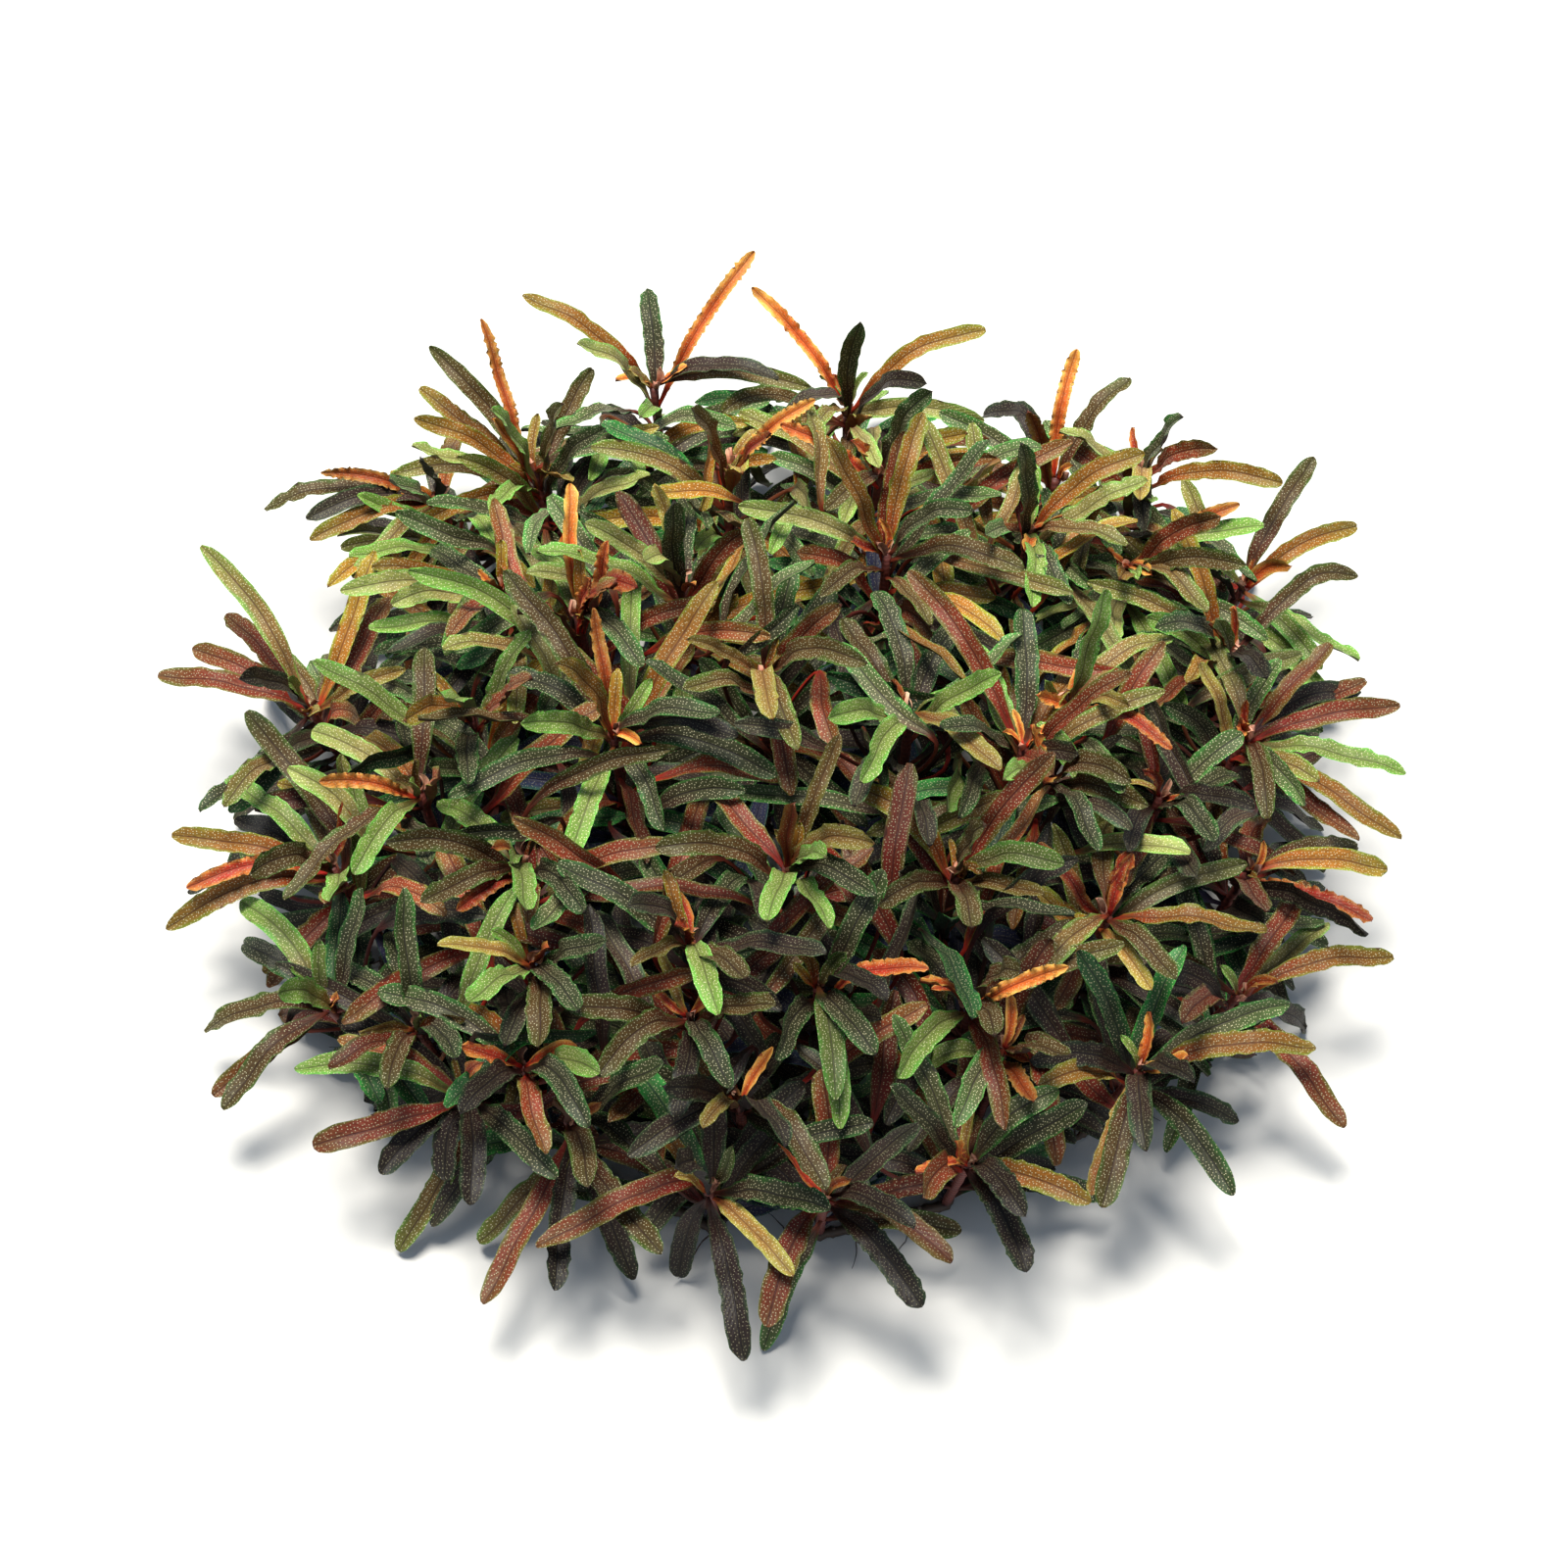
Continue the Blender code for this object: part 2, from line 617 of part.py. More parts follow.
def place_named(shoot, number, leaf, others, rhizomes):
    """Places a leaf whose tip is named in the picture. It shifts a little where others are in its way."""
    tone, across, down = leaf[:3]
    mark, mark_place = (leaf[3], leaf[4:6]) if len(leaf) > 3 else ("", None)
    young = tone in YOUNG_TONES
    line = sight_line(across, down)
    rough = nearest_on_line(line, shoot.crown) - shoot.crown
    length = LEAF_LENGTH * (0.80 if young else 1.0)
    width = LEAF_WIDTH * (0.70 if young else 1.0)
    for attempt in range(PLACE_ATTEMPTS):
        chance = random.Random(f"leaf {shoot.index} {number} {attempt}")
        loose = attempt / 10
        shift = max(0, attempt - 14) * 1.5
        line = sight_line(across + chance.uniform(-shift, shift), down + chance.uniform(-shift, shift))
        pitch = preferred_pitch(shoot, rough, young) + chance.uniform(-0.30, 0.30) * loose
        wanted = length * (1 + chance.uniform(-0.12, 0.12) * loose)
        tip = tip_point(shoot.crown, line, wanted, pitch)
        bow = (tip - shoot.crown).length * (0.10 + 0.10 * chance.random())
        middle = sight_line(*mark_place) if mark == "via" else None
        start = sight_line(*mark_place) if mark == "from" else None
        roll = chance.uniform(-0.3, 0.3) * (1 + loose)
        wide = width * chance.uniform(0.92, 1.08)
        for seat, base in shoot.seats_for(tip - shoot.crown, True)[:SEATS_TRIED]:
            knots = leaf_knots(base, tip, bow, middle, start)
            facing = leaf_facing(knots, roll)
            fitted = fitted_leaf(shoot, seat, knots, facing, wide, others, rhizomes)
            if fitted:
                shoot.add_leaf(tone, knots, facing, wide, seat, fitted[1])
                shoot.solids.append(fitted[0])
                return True
    return False


def place_free(shoot, number, others, rhizomes):
    """Places an old leaf low on the shoot, in a direction that is still free."""
    turns = number * GOLDEN_ANGLE + shoot.index
    for attempt in range(PLACE_ATTEMPTS):
        chance = random.Random(f"free {shoot.index} {number} {attempt}")
        heading = turns + chance.uniform(-0.5, 0.5) * (1 + attempt / 3)
        flat = Vector((math.cos(heading), math.sin(heading), 0))
        pitch = preferred_pitch(shoot, flat, False) - chance.uniform(0.0, 0.5)
        length = LEAF_LENGTH * chance.uniform(0.72, 0.98)
        bow = length * chance.uniform(0.08, 0.2)
        roll = chance.uniform(-0.4, 0.4)
        width = LEAF_WIDTH * chance.uniform(0.85, 1.0)
        tone = chance.choice(("moss", "moss", "dusk", "olive"))
        for seat, base in shoot.seats_for(flat, False)[:SEATS_TRIED]:
            tip = base + (flat * math.cos(pitch) + Vector((0, 0, math.sin(pitch)))) * length
            tip.z = max(tip.z, FLOOR_CLEARANCE)
            if math.hypot(tip.x, tip.y) > CUSHION_RADIUS * 1.04:
                continue
            knots = leaf_knots(base, tip, bow, None, None)
            facing = leaf_facing(knots, roll)
            fitted = fitted_leaf(shoot, seat, knots, facing, width, others, rhizomes)
            if fitted:
                shoot.add_leaf(tone, knots, facing, width, seat, fitted[1])
                shoot.solids.append(fitted[0])
                return True
    return False


def new_collection(name):
    collection = bpy.data.collections.new(name)
    bpy.context.scene.collection.children.link(collection)
    return collection


def plain_material(name, colour, roughness):
    material = bpy.data.materials.new(name)
    material.use_nodes = True
    shader = material.node_tree.nodes["Principled BSDF"]
    shader.inputs["Base Color"].default_value = (*colour, 1)
    shader.inputs["Roughness"].default_value = roughness
    shader.inputs["Metallic"].default_value = 0.0
    return material


def add_mesh(name, points, faces, material, collection):
    mesh = bpy.data.meshes.new(name)
    mesh.from_pydata([point[:] for point in points], [], faces)
    mesh.materials.append(material)
    mesh.update()
    piece = bpy.data.objects.new(name, mesh)
    collection.objects.link(piece)
    return piece


def rhizome_routes(shoots):
    """For each sector of the floor, the feet that its rhizome passes, from the middle outwards."""
    routes = []
    for sector in range(SECTORS):
        feet = []
        for shoot in shoots:
            angle = math.atan2(shoot.foot.y, shoot.foot.x) % math.tau
            if int(angle / math.tau * SECTORS) == sector:
                feet.append(Vector((shoot.foot.x, shoot.foot.y, 0)))
        feet.sort(key=lambda foot: foot.length)
        route = feet[:1]
        rest = feet[1:]
        while rest:
            nearest = min(rest, key=lambda foot: (foot - route[-1]).length + 0.3 * foot.length)
            rest.remove(nearest)
            route.append(nearest)
        if len(route) > 1:
            ahead = (route[-1] - route[-2]).normalized()
        else:
            ahead = route[-1].normalized()
        route.append(route[-1] + ahead * RHIZOME_END)
        back = (route[0] - route[1]).normalized()
        route.insert(0, route[0] + back * (RHIZOME_END / 2))
        routes.append(route)
    return routes


def rhizome_mesh(route):
    """The rhizome along its route, with a flat underside on the floor and a narrower top."""
    corners = ((-0.5, 0), (0.5, 0), (0.34, RHIZOME_HEIGHT), (-0.34, RHIZOME_HEIGHT))
    points = []
    ways = [(after - before).normalized() for before, after in zip(route, route[1:])]
    for index, place in enumerate(route):
        way_in = ways[max(index - 1, 0)]
        way_out = ways[min(index, len(ways) - 1)]
        side = (way_in + way_out).normalized().cross(Vector((0, 0, 1)))
        width = RHIZOME_WIDTH * (0.6 if index in (0, len(route) - 1) else 1)
        for across, height in corners:
            points.append(place + side * (across * width) + Vector((0, 0, height)))
    faces = [(0, 1, 2, 3)]
    for level in range(len(route) - 1):
        for corner in range(4):
            low = 4 * level
            after = (corner + 1) % 4
            faces.append((low + corner, low + 4 + corner, low + 4 + after, low + after))
    last = 4 * (len(route) - 1)
    faces.append((last + 3, last + 2, last + 1, last))
    return points, faces


def rhizome_solid(route):
    """A box along each stretch of a rhizome, which the leaves keep clear of."""
    points = []
    faces = []
    for start, end in zip(route, route[1:]):
        side = (end - start).normalized().cross(Vector((0, 0, 1))) * (RHIZOME_WIDTH * 0.6)
        first = len(points)
        for place in (start, end):
            for offset in (-side, side):
                points.append(place + offset)
                points.append(place + offset + Vector((0, 0, RHIZOME_HEIGHT + GAP)))
        for face in ((0, 2, 3, 1), (4, 5, 7, 6), (0, 4, 6, 2), (1, 3, 7, 5), (0, 1, 5, 4), (2, 6, 7, 3)):
            faces.append(tuple(first + corner for corner in face))
    return Solid(-1, points, faces, CLEARANCE)


def shoot_mesh(shoot):
    """The stem with its leaves grown out of their seats, as one closed surface."""
    places = {corner.freeze(): index for index, corner in enumerate(shoot.points)}
    points = list(shoot.points)
    faces = shoot.faces + [seat for index, seat in enumerate(shoot.seats) if index not in shoot.used]
    for triangle in shoot.leaf_triangles:
        for corner in triangle:
            if corner not in places:
                places[corner] = len(points)
                points.append(corner)
        faces.append(tuple(places[corner] for corner in triangle))
    return points, faces


def leaf_material_name(shoot):
    """The material of a shoot's commonest kind of leaf."""
    counts = {"leaf_green": 0, "leaf_bronze": 0, "leaf_dark": 0}
    for tone, _, _, _ in shoot.leaves:
        if tone in GREEN_TONES:
            counts["leaf_green"] += 1
        elif tone == "dusk":
            counts["leaf_dark"] += 1
        else:
            counts["leaf_bronze"] += 1
    return max(counts, key=counts.get)


def grow_shoots():
    """All shoots with their leaves, and the routes of the rhizomes under them."""
    shoots = []
    for index, (place, leaves) in enumerate(SHOOTS):
        shoots.append(Shoot(index, place, leaves))
    routes = rhizome_routes(shoots)
    rhizomes = [rhizome_solid(route) for route in routes]
    for shoot in shoots:
        for number, leaf in enumerate(shoot.named_leaves):
            if not place_named(shoot, number, leaf, shoots, rhizomes):
                shoot.missing.append(number)
    for shoot in shoots:
        for number in range(max(LEAVES_A_SHOOT - len(shoot.leaves), 1)):
            place_free(shoot, number, shoots, rhizomes)
    return shoots, routes


def centred(meshes):
    """The same meshes, moved so that the middle of their base is the origin."""
    everything = [point for points, _ in meshes for point in points]
    low = [min(point[axis] for point in everything) for axis in range(3)]
    high = [max(point[axis] for point in everything) for axis in range(3)]
    shift = Vector(((low[0] + high[0]) / 2, (low[1] + high[1]) / 2, low[2]))
    return [([point - shift for point in points], faces) for points, faces in meshes]


for leftover in list(bpy.data.objects):
    bpy.data.objects.remove(leftover)

plant = new_collection("bucephalandra")
materials = {name: plain_material(name, *finish) for name, finish in MATERIALS.items()}
all_shoots, all_routes = grow_shoots()
names = [f"shoot_{shoot.index + 1:02d}" for shoot in all_shoots]
names += [f"rhizome_{index + 1}" for index in range(len(all_routes))]
looks = [leaf_material_name(shoot) for shoot in all_shoots] + ["rhizome_bark"] * len(all_routes)
meshes = [shoot_mesh(shoot) for shoot in all_shoots] + [rhizome_mesh(route) for route in all_routes]
for name, look, (points, faces) in zip(names, looks, centred(meshes)):
    add_mesh(name, points, faces, materials[look], plant)
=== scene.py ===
"""Dresses a dense cushion of bucephalandra: fine wavy leaves, stems, buds and roots around its solids."""

import math
import random

import bpy
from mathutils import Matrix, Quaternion, Vector
from mathutils.bvhtree import BVHTree
from mathutils.geometry import intersect_ray_tri


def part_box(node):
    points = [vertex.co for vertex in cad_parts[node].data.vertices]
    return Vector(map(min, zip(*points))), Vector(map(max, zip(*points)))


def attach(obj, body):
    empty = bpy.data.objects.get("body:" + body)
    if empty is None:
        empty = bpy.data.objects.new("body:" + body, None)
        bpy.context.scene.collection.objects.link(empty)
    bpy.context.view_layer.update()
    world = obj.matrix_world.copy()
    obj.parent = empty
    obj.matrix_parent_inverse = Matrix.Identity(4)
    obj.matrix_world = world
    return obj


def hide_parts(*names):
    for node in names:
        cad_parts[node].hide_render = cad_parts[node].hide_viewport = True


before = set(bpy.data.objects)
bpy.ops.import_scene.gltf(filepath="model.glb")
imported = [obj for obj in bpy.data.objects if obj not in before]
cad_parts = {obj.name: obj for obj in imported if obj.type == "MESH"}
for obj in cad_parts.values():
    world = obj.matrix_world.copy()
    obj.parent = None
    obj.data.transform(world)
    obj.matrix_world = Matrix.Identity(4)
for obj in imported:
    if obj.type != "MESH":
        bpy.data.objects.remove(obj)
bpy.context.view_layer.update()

# Driving dimensions, in metres.
CUSHION_RADIUS = 0.152
CROWN_HEIGHT = 0.064
RIM_HEIGHT = 0.009
LEAF_LENGTH = 0.042
LONGEST_LEAF = 0.056
LEAF_WIDTH = 0.0065
LEAF_THICKNESS = 0.0008
PETIOLE_WIDTH = 0.0017
STEM_RADIUS = 0.0014
COLLAR_LENGTH = 0.0035
# The lower collar stands at this share of the stem's height.
LOW_COLLAR_SHARE = 0.45
RHIZOME_WIDTH = 0.0036
RHIZOME_HEIGHT = 0.0028
RHIZOME_END = 0.008
GAP = 0.0003
CLEARANCE = 0.00035
FLOOR_CLEARANCE = 0.0015
# A shoot leans outwards: its foot stands at this share of its crown's distance from the middle.
FOOT_SHARE = 0.9
SECTORS = 8
STEM_SIDES = 3
LEAVES_A_COLLAR = 2 * STEM_SIDES
# Free seats below the crown, so that each leaf finds one that faces its own way.
SPARE_SEATS = 3
LEAVES_A_SHOOT = 7
PLACE_ATTEMPTS = 24
SEATS_TRIED = 4
# The share of a leaf's length where the strap widens, is widest and starts to narrow, with its width there.
BLADE_STATIONS = ((0.24, 0.62), (0.52, 1.00), (0.88, 0.84))

# The power of the dome that the crowns lie on, and how much that falls towards the back.
DOME_POWER = 0.70
BACK_FULLNESS = 0.26
# A leaf's upward angle in radians: at the middle, what it loses where it points outwards and towards the rim,
# and what it gains at the back and while it is young.
MIDDLE_PITCH = 0.42
OUTWARD_DROOP = 0.75
RIM_DROOP = 0.18
BACK_RISE = 1.25
YOUNG_RISE = 0.40
YOUNG_LENGTH_SHARE = 0.80
YOUNG_WIDTH_SHARE = 0.70
# How strongly an upper face turns to the light above and to the eye.
LIGHT_PULL = 0.7
EYE_PULL = 0.6

# The view that the leaves were read from: a square picture, and an estimated distance, angle and pixel size.
VIEW_DISTANCE = 1.5
VIEW_ELEVATION = math.radians(52)
PIXEL_SIZE = 0.00025
PICTURE_SIZE = 1600
PICTURE_MIDDLE = PICTURE_SIZE // 2
LOOK_HEIGHT = 0.045
FORWARD = Vector((0, math.cos(VIEW_ELEVATION), -math.sin(VIEW_ELEVATION)))
UPWARD = Vector((0, math.sin(VIEW_ELEVATION), math.cos(VIEW_ELEVATION)))
# Where crowns and tips are looked for on a sight line: how far before the middle, the steps, and a step.
CROWN_SEARCH = (0.25, 900, 0.0005)
TIP_SEARCH = (0.28, 300, 0.0018)
# How far a tip's angle and length may be off, and the share of its length that a bowed leaf's chord has.
PITCH_TOLERANCE = 0.30
LENGTH_TOLERANCE = 0.006
CHORD_SHARE = 0.94

YOUNG_TONES = ("flame", "ember", "gold", "copper")
FREE_TONES = ("moss", "moss", "dusk", "olive")
GOLDEN_ANGLE = math.radians(137.5)

# Each shoot: the picture place of its crown, then its leaves. Each leaf: its tone and the picture place
# of its tip. A leaf may also name the place where its blade starts ("from") or where it bends ("via").
SHOOTS = [
    ((667, 394), [
        ("bronze", 533, 301), ("moss", 660, 294), ("flame", 770, 256),
        ("olive", 828, 396, "via", 736, 364), ("dusk", 795, 385, "via", 761, 382), ("sage", 589, 350),
    ]),
    ((866, 412), [
        ("flame", 767, 293), ("moss", 878, 330), ("bronze", 1006, 337), ("dusk", 944, 391),
        ("olive", 736, 422, "via", 784, 401), ("lime", 908, 403, "from", 841, 447), ("dusk", 801, 427),
    ]),
    ((545, 480), [
        ("olive", 438, 353, "from", 499, 422), ("flame", 491, 325, "from", 522, 437), ("bronze", 428, 396),
        ("bronze", 422, 427), ("lime", 503, 417), ("sage", 420, 455), ("flame", 502, 427),
        ("olive", 572, 412), ("olive", 604, 376), ("moss", 617, 437), ("gold", 673, 435, "from", 568, 475),
        ("moss", 683, 447, "from", 594, 486),
    ]),
    ((451, 516), [
        ("olive", 269, 519, "via", 360, 496), ("flame", 327, 482), ("dusk", 428, 470), ("bronze", 469, 437),
        ("dusk", 312, 529), ("bronze", 316, 551), ("olive", 360, 590), ("lime", 510, 560),
    ]),
    ((1078, 487), [
        ("flame", 1099, 356), ("olive", 1153, 385), ("dusk", 1004, 425, "via", 1049, 419),
        ("flame", 1049, 421), ("sage", 1065, 490, "from", 1042, 534),
    ]),
    ((1165, 483), [
        ("moss", 1204, 424), ("rust", 1243, 458), ("bronze", 1309, 493), ("dusk", 1167, 542),
        ("gold", 1163, 510),
    ]),
    ((1270, 598), [
        ("olive", 1341, 466), ("bronze", 1384, 537), ("lime", 1387, 674, "from", 1307, 627),
    ]),
    ((1152, 577), [
        ("flame", 1265, 514), ("rust", 1246, 527), ("lime", 1290, 537, "from", 1217, 554),
        ("olive", 1274, 583), ("olive", 1232, 625),
    ]),
    ((1257, 665), [
        ("olive", 1386, 588, "via", 1332, 592), ("dusk", 1292, 690), ("moss", 1180, 640),
    ]),
    ((1273, 752), [
        ("rust", 1429, 720), ("copper", 1359, 658), ("rust", 1394, 695), ("dusk", 1388, 705),
        ("lime", 1435, 789), ("bronze", 1441, 862, "from", 1318, 778), ("rust", 1387, 858, "from", 1286, 785),
        ("olive", 1293, 835), ("sage", 1225, 648, "via", 1265, 678), ("gold", 1225, 676),
    ]),
    ((1275, 890), [
        ("olive", 1385, 864), ("rust", 1351, 868), ("bronze", 1416, 887), ("ember", 1401, 938),
        ("dusk", 1399, 946), ("rust", 1292, 831),
    ]),
    ((1266, 1015), [
        ("bronze", 1422, 977), ("rust", 1334, 900), ("rust", 1372, 1151), ("dusk", 1334, 1047),
        ("dusk", 1150, 996), ("olive", 1103, 976),
    ]),
    ((1163, 1092), [
        ("bronze", 1343, 1069), ("moss", 1259, 1220), ("olive", 1125, 1232), ("olive", 1301, 1029),
        ("olive", 1165, 1029), ("dusk", 1050, 1082), ("bronze", 1061, 1107), ("dusk", 1218, 1103),
        ("dusk", 1169, 1174), ("copper", 1113, 1220),
    ]),
    ((988, 1187), [
        ("bronze", 1113, 1227), ("dusk", 1048, 1298), ("dusk", 1046, 1241), ("bronze", 967, 1195),
        ("olive", 1023, 1151), ("rust", 946, 1223),
    ]),
    ((841, 1222), [
        ("copper", 971, 1289), ("dusk", 941, 1334), ("dusk", 933, 1252), ("rust", 782, 1354),
    ]),
    ((723, 1215), [
        ("gold", 809, 1301), ("dusk", 759, 1389), ("dusk", 690, 1303),
        ("rust", 547, 1273, "via", 675, 1209), ("moss", 847, 1234), ("dusk", 690, 1192),
    ]),
    ((580, 1143), [
        ("olive", 600, 1211), ("olive", 675, 1280, "from", 604, 1186), ("rust", 493, 1331, "from", 566, 1202),
        ("dusk", 566, 1317, "from", 583, 1206),
    ]),
    ((473, 1116), [
        ("lime", 300, 1090), ("moss", 568, 1202), ("rust", 319, 1169, "via", 415, 1143),
        ("dusk", 480, 1230), ("dusk", 450, 1197), ("dusk", 388, 1198),
    ]),
    ((334, 1028), [
        ("olive", 208, 1051), ("rust", 217, 1118), ("olive", 228, 1133), ("lime", 245, 919),
        ("lime", 282, 1022), ("moss", 249, 963),
    ]),
    ((338, 886), [
        ("lime", 232, 795), ("olive", 251, 726, "from", 343, 841), ("bronze", 175, 852), ("dusk", 240, 835),
        ("ember", 190, 906), ("olive", 255, 892), ("dusk", 191, 910), ("bronze", 169, 948),
        ("lime", 336, 920),
    ]),
    ((315, 722), [
        ("rust", 161, 689), ("rust", 196, 661), ("rust", 231, 626), ("sage", 366, 616),
        ("moss", 203, 827, "from", 272, 772), ("olive", 341, 662), ("olive", 205, 557, "via", 261, 567),
        ("dusk", 242, 691), ("rust", 397, 609), ("gold", 414, 683),
    ]),
    ((428, 810), [
        ("olive", 433, 660), ("flame", 325, 797), ("lime", 360, 892), ("sage", 318, 745),
        ("olive", 290, 919), ("bronze", 372, 752),
    ]),
    ((625, 748), [
        ("olive", 513, 583), ("flame", 605, 620), ("bronze", 732, 593), ("bronze", 569, 677),
        ("lime", 531, 738), ("lime", 580, 876), ("moss", 457, 815), ("moss", 793, 792),
        ("dusk", 753, 751), ("moss", 735, 728), ("moss", 678, 848), ("moss", 518, 685),
    ]),
    ((781, 685), [
        ("olive", 763, 529), ("gold", 702, 652), ("moss", 849, 600), ("rust", 857, 618),
        ("olive", 883, 677), ("olive", 814, 766), ("gold", 788, 733),
    ]),
    ((928, 730), [
        ("olive", 860, 632), ("moss", 893, 603), ("moss", 980, 632), ("lime", 845, 733),
        ("lime", 880, 798), ("lime", 1022, 687), ("gold", 1021, 787),
    ]),
    ((694, 600), [
        ("gold", 668, 493), ("moss", 689, 514), ("moss", 704, 519), ("moss", 747, 557),
        ("sage", 597, 534), ("lime", 548, 560), ("sage", 658, 572),
    ]),
    ((905, 565), [
        ("bronze", 942, 421), ("rust", 923, 440), ("sage", 753, 517), ("moss", 992, 521),
        ("olive", 1045, 582), ("olive", 836, 610),
    ]),
    ((1048, 545), [
        ("bronze", 1168, 462), ("sage", 1170, 488), ("rust", 1013, 477),
        ("gold", 1022, 471, "from", 980, 515),
        ("moss", 1043, 454), ("lime", 1053, 620), ("moss", 1091, 618), ("olive", 1151, 555),
    ]),
    ((742, 478), [
        ("olive", 707, 416), ("ember", 784, 441), ("flame", 832, 408), ("lime", 788, 508),
        ("moss", 650, 505),
    ]),
    ((897, 481), [
        ("ember", 797, 433), ("olive", 842, 520), ("bronze", 985, 442), ("moss", 950, 400),
    ]),
    ((513, 605), [
        ("sage", 347, 603), ("sage", 400, 617, "via", 448, 597), ("rust", 457, 649), ("lime", 455, 670),
        ("moss", 440, 560),
    ]),
    ((480, 730), [
        ("lime", 454, 712), ("rust", 540, 690), ("moss", 478, 800), ("bronze", 415, 735),
        ("moss", 395, 690),
    ]),
    ((590, 628), [
        ("ember", 620, 552), ("flame", 582, 493), ("ember", 603, 590), ("ember", 648, 598),
        ("lime", 545, 559), ("moss", 655, 680),
    ]),
    ((1045, 762), [
        ("bronze", 1103, 678), ("lime", 996, 659), ("moss", 1043, 622), ("rust", 927, 582, "from", 980, 652),
        ("rust", 1074, 790), ("moss", 960, 740),
    ]),
    ((1090, 718), [
        ("gold", 1151, 720), ("ember", 1196, 764), ("lime", 1131, 601), ("moss", 1122, 634),
        ("lime", 1160, 680), ("olive", 1196, 649),
    ]),
    ((1068, 796), [
        ("olive", 1172, 823), ("olive", 1154, 798), ("moss", 1064, 756), ("lime", 1026, 794),
        ("moss", 1120, 870),
    ]),
    ((975, 892), [
        ("bronze", 878, 804), ("rust", 1074, 770), ("olive", 1003, 842), ("olive", 897, 924),
        ("olive", 992, 945), ("gold", 1066, 913), ("lime", 1086, 882),
    ]),
    ((803, 885), [
        ("ember", 811, 819), ("gold", 857, 749), ("lime", 782, 938), ("lime", 847, 947),
        ("lime", 841, 873), ("gold", 891, 861), ("olive", 669, 865), ("moss", 895, 915),
        ("rust", 723, 800),
    ]),
    ((705, 962), [
        ("moss", 568, 882), ("gold", 644, 987), ("olive", 761, 997), ("lime", 732, 1035),
        ("moss", 757, 892), ("dusk", 640, 925),
    ]),
    ((532, 877), [
        ("lime", 538, 928), ("lime", 511, 901), ("olive", 429, 921), ("lime", 446, 817),
        ("moss", 595, 930), ("ember", 467, 922),
    ]),
    ((540, 982), [
        ("gold", 446, 965), ("lime", 478, 1022), ("olive", 549, 1068), ("moss", 620, 960),
        ("moss", 590, 1030),
    ]),
    ((424, 1050), [
        ("moss", 397, 950), ("moss", 465, 1079), ("dusk", 500, 985), ("moss", 340, 985),
        ("olive", 395, 1110),
    ]),
    ((534, 1088), [
        ("dusk", 515, 1010), ("bronze", 452, 1031), ("lime", 612, 1095), ("moss", 600, 1150),
        ("dusk", 470, 1135),
    ]),
    ((702, 1038), [
        ("olive", 570, 1026), ("olive", 609, 1098), ("olive", 650, 1085), ("olive", 792, 1026),
        ("moss", 745, 1110), ("dusk", 690, 1140),
    ]),
    ((835, 1007), [
        ("moss", 893, 1075), ("lime", 858, 1152), ("ember", 948, 989), ("lime", 853, 1122),
        ("moss", 800, 1090), ("dusk", 905, 1020),
    ]),
    ((992, 1022), [
        ("flame", 1091, 986), ("olive", 1015, 1054), ("olive", 1040, 991), ("olive", 1097, 942),
        ("lime", 915, 1100), ("moss", 930, 960),
    ]),
    ((1024, 1072), [
        ("olive", 1091, 1075), ("flame", 1055, 1124), ("lime", 914, 1097), ("moss", 975, 1150),
        ("dusk", 1080, 1150),
    ]),
    ((1130, 935), [
        ("bronze", 1293, 952), ("gold", 1175, 1010), ("olive", 1200, 1000), ("moss", 1195, 867),
        ("ember", 1059, 861), ("olive", 1130, 829), ("olive", 1045, 1010),
    ]),
    ((755, 1125), [
        ("gold", 717, 1152), ("dusk", 680, 1110), ("moss", 839, 1188), ("olive", 843, 1215),
        ("dusk", 800, 1060), ("dusk", 640, 1180),
    ]),
    ((1185, 812), [
        ("dusk", 1280, 824), ("moss", 1240, 860), ("dusk", 1207, 770), ("moss", 1120, 780),
        ("dusk", 1150, 870), ("moss", 1265, 790),
    ]),
]


def sight_line(across, down):
    """The eye, and the direction in which it sees this place of the picture."""
    middle = Vector((0, 0, LOOK_HEIGHT))
    eye = middle - FORWARD * VIEW_DISTANCE
    seen = middle + UPWARD * ((PICTURE_MIDDLE - down) * PIXEL_SIZE)
    seen.x += (across - PICTURE_MIDDLE) * PIXEL_SIZE
    return eye, (seen - eye).normalized()


def crown_level(x, y):
    """The height of the shoots' crowns over this place of the floor."""
    share = min(math.hypot(x, y) / CUSHION_RADIUS, 1)
    power = DOME_POWER - BACK_FULLNESS * max(y, 0) / CUSHION_RADIUS
    return RIM_HEIGHT + (CROWN_HEIGHT - RIM_HEIGHT) * (1 - share * share) ** power


def crown_point(across, down):
    """Where a crown seen at this place of the picture meets the crown level, or comes nearest to it."""
    eye, way = sight_line(across, down)
    before, steps, step_length = CROWN_SEARCH
    nearest = None
    for step in range(steps):
        point = eye + way * (VIEW_DISTANCE - before + step * step_length)
        over = point.z - crown_level(point.x, point.y)
        if math.hypot(point.x, point.y) > CUSHION_RADIUS * 0.98:
            over += 1
        if nearest is None or over < nearest[0]:
            nearest = (over, point)
        if over <= 0:
            return point
    return nearest[1]


def level_way(heading):
    return Vector((math.cos(heading), math.sin(heading), 0))


def raised_way(flat, pitch):
    return flat * math.cos(pitch) + Vector((0, 0, math.sin(pitch)))


def nearest_on_line(line, place):
    eye, way = line
    return eye + way * (place - eye).dot(way)


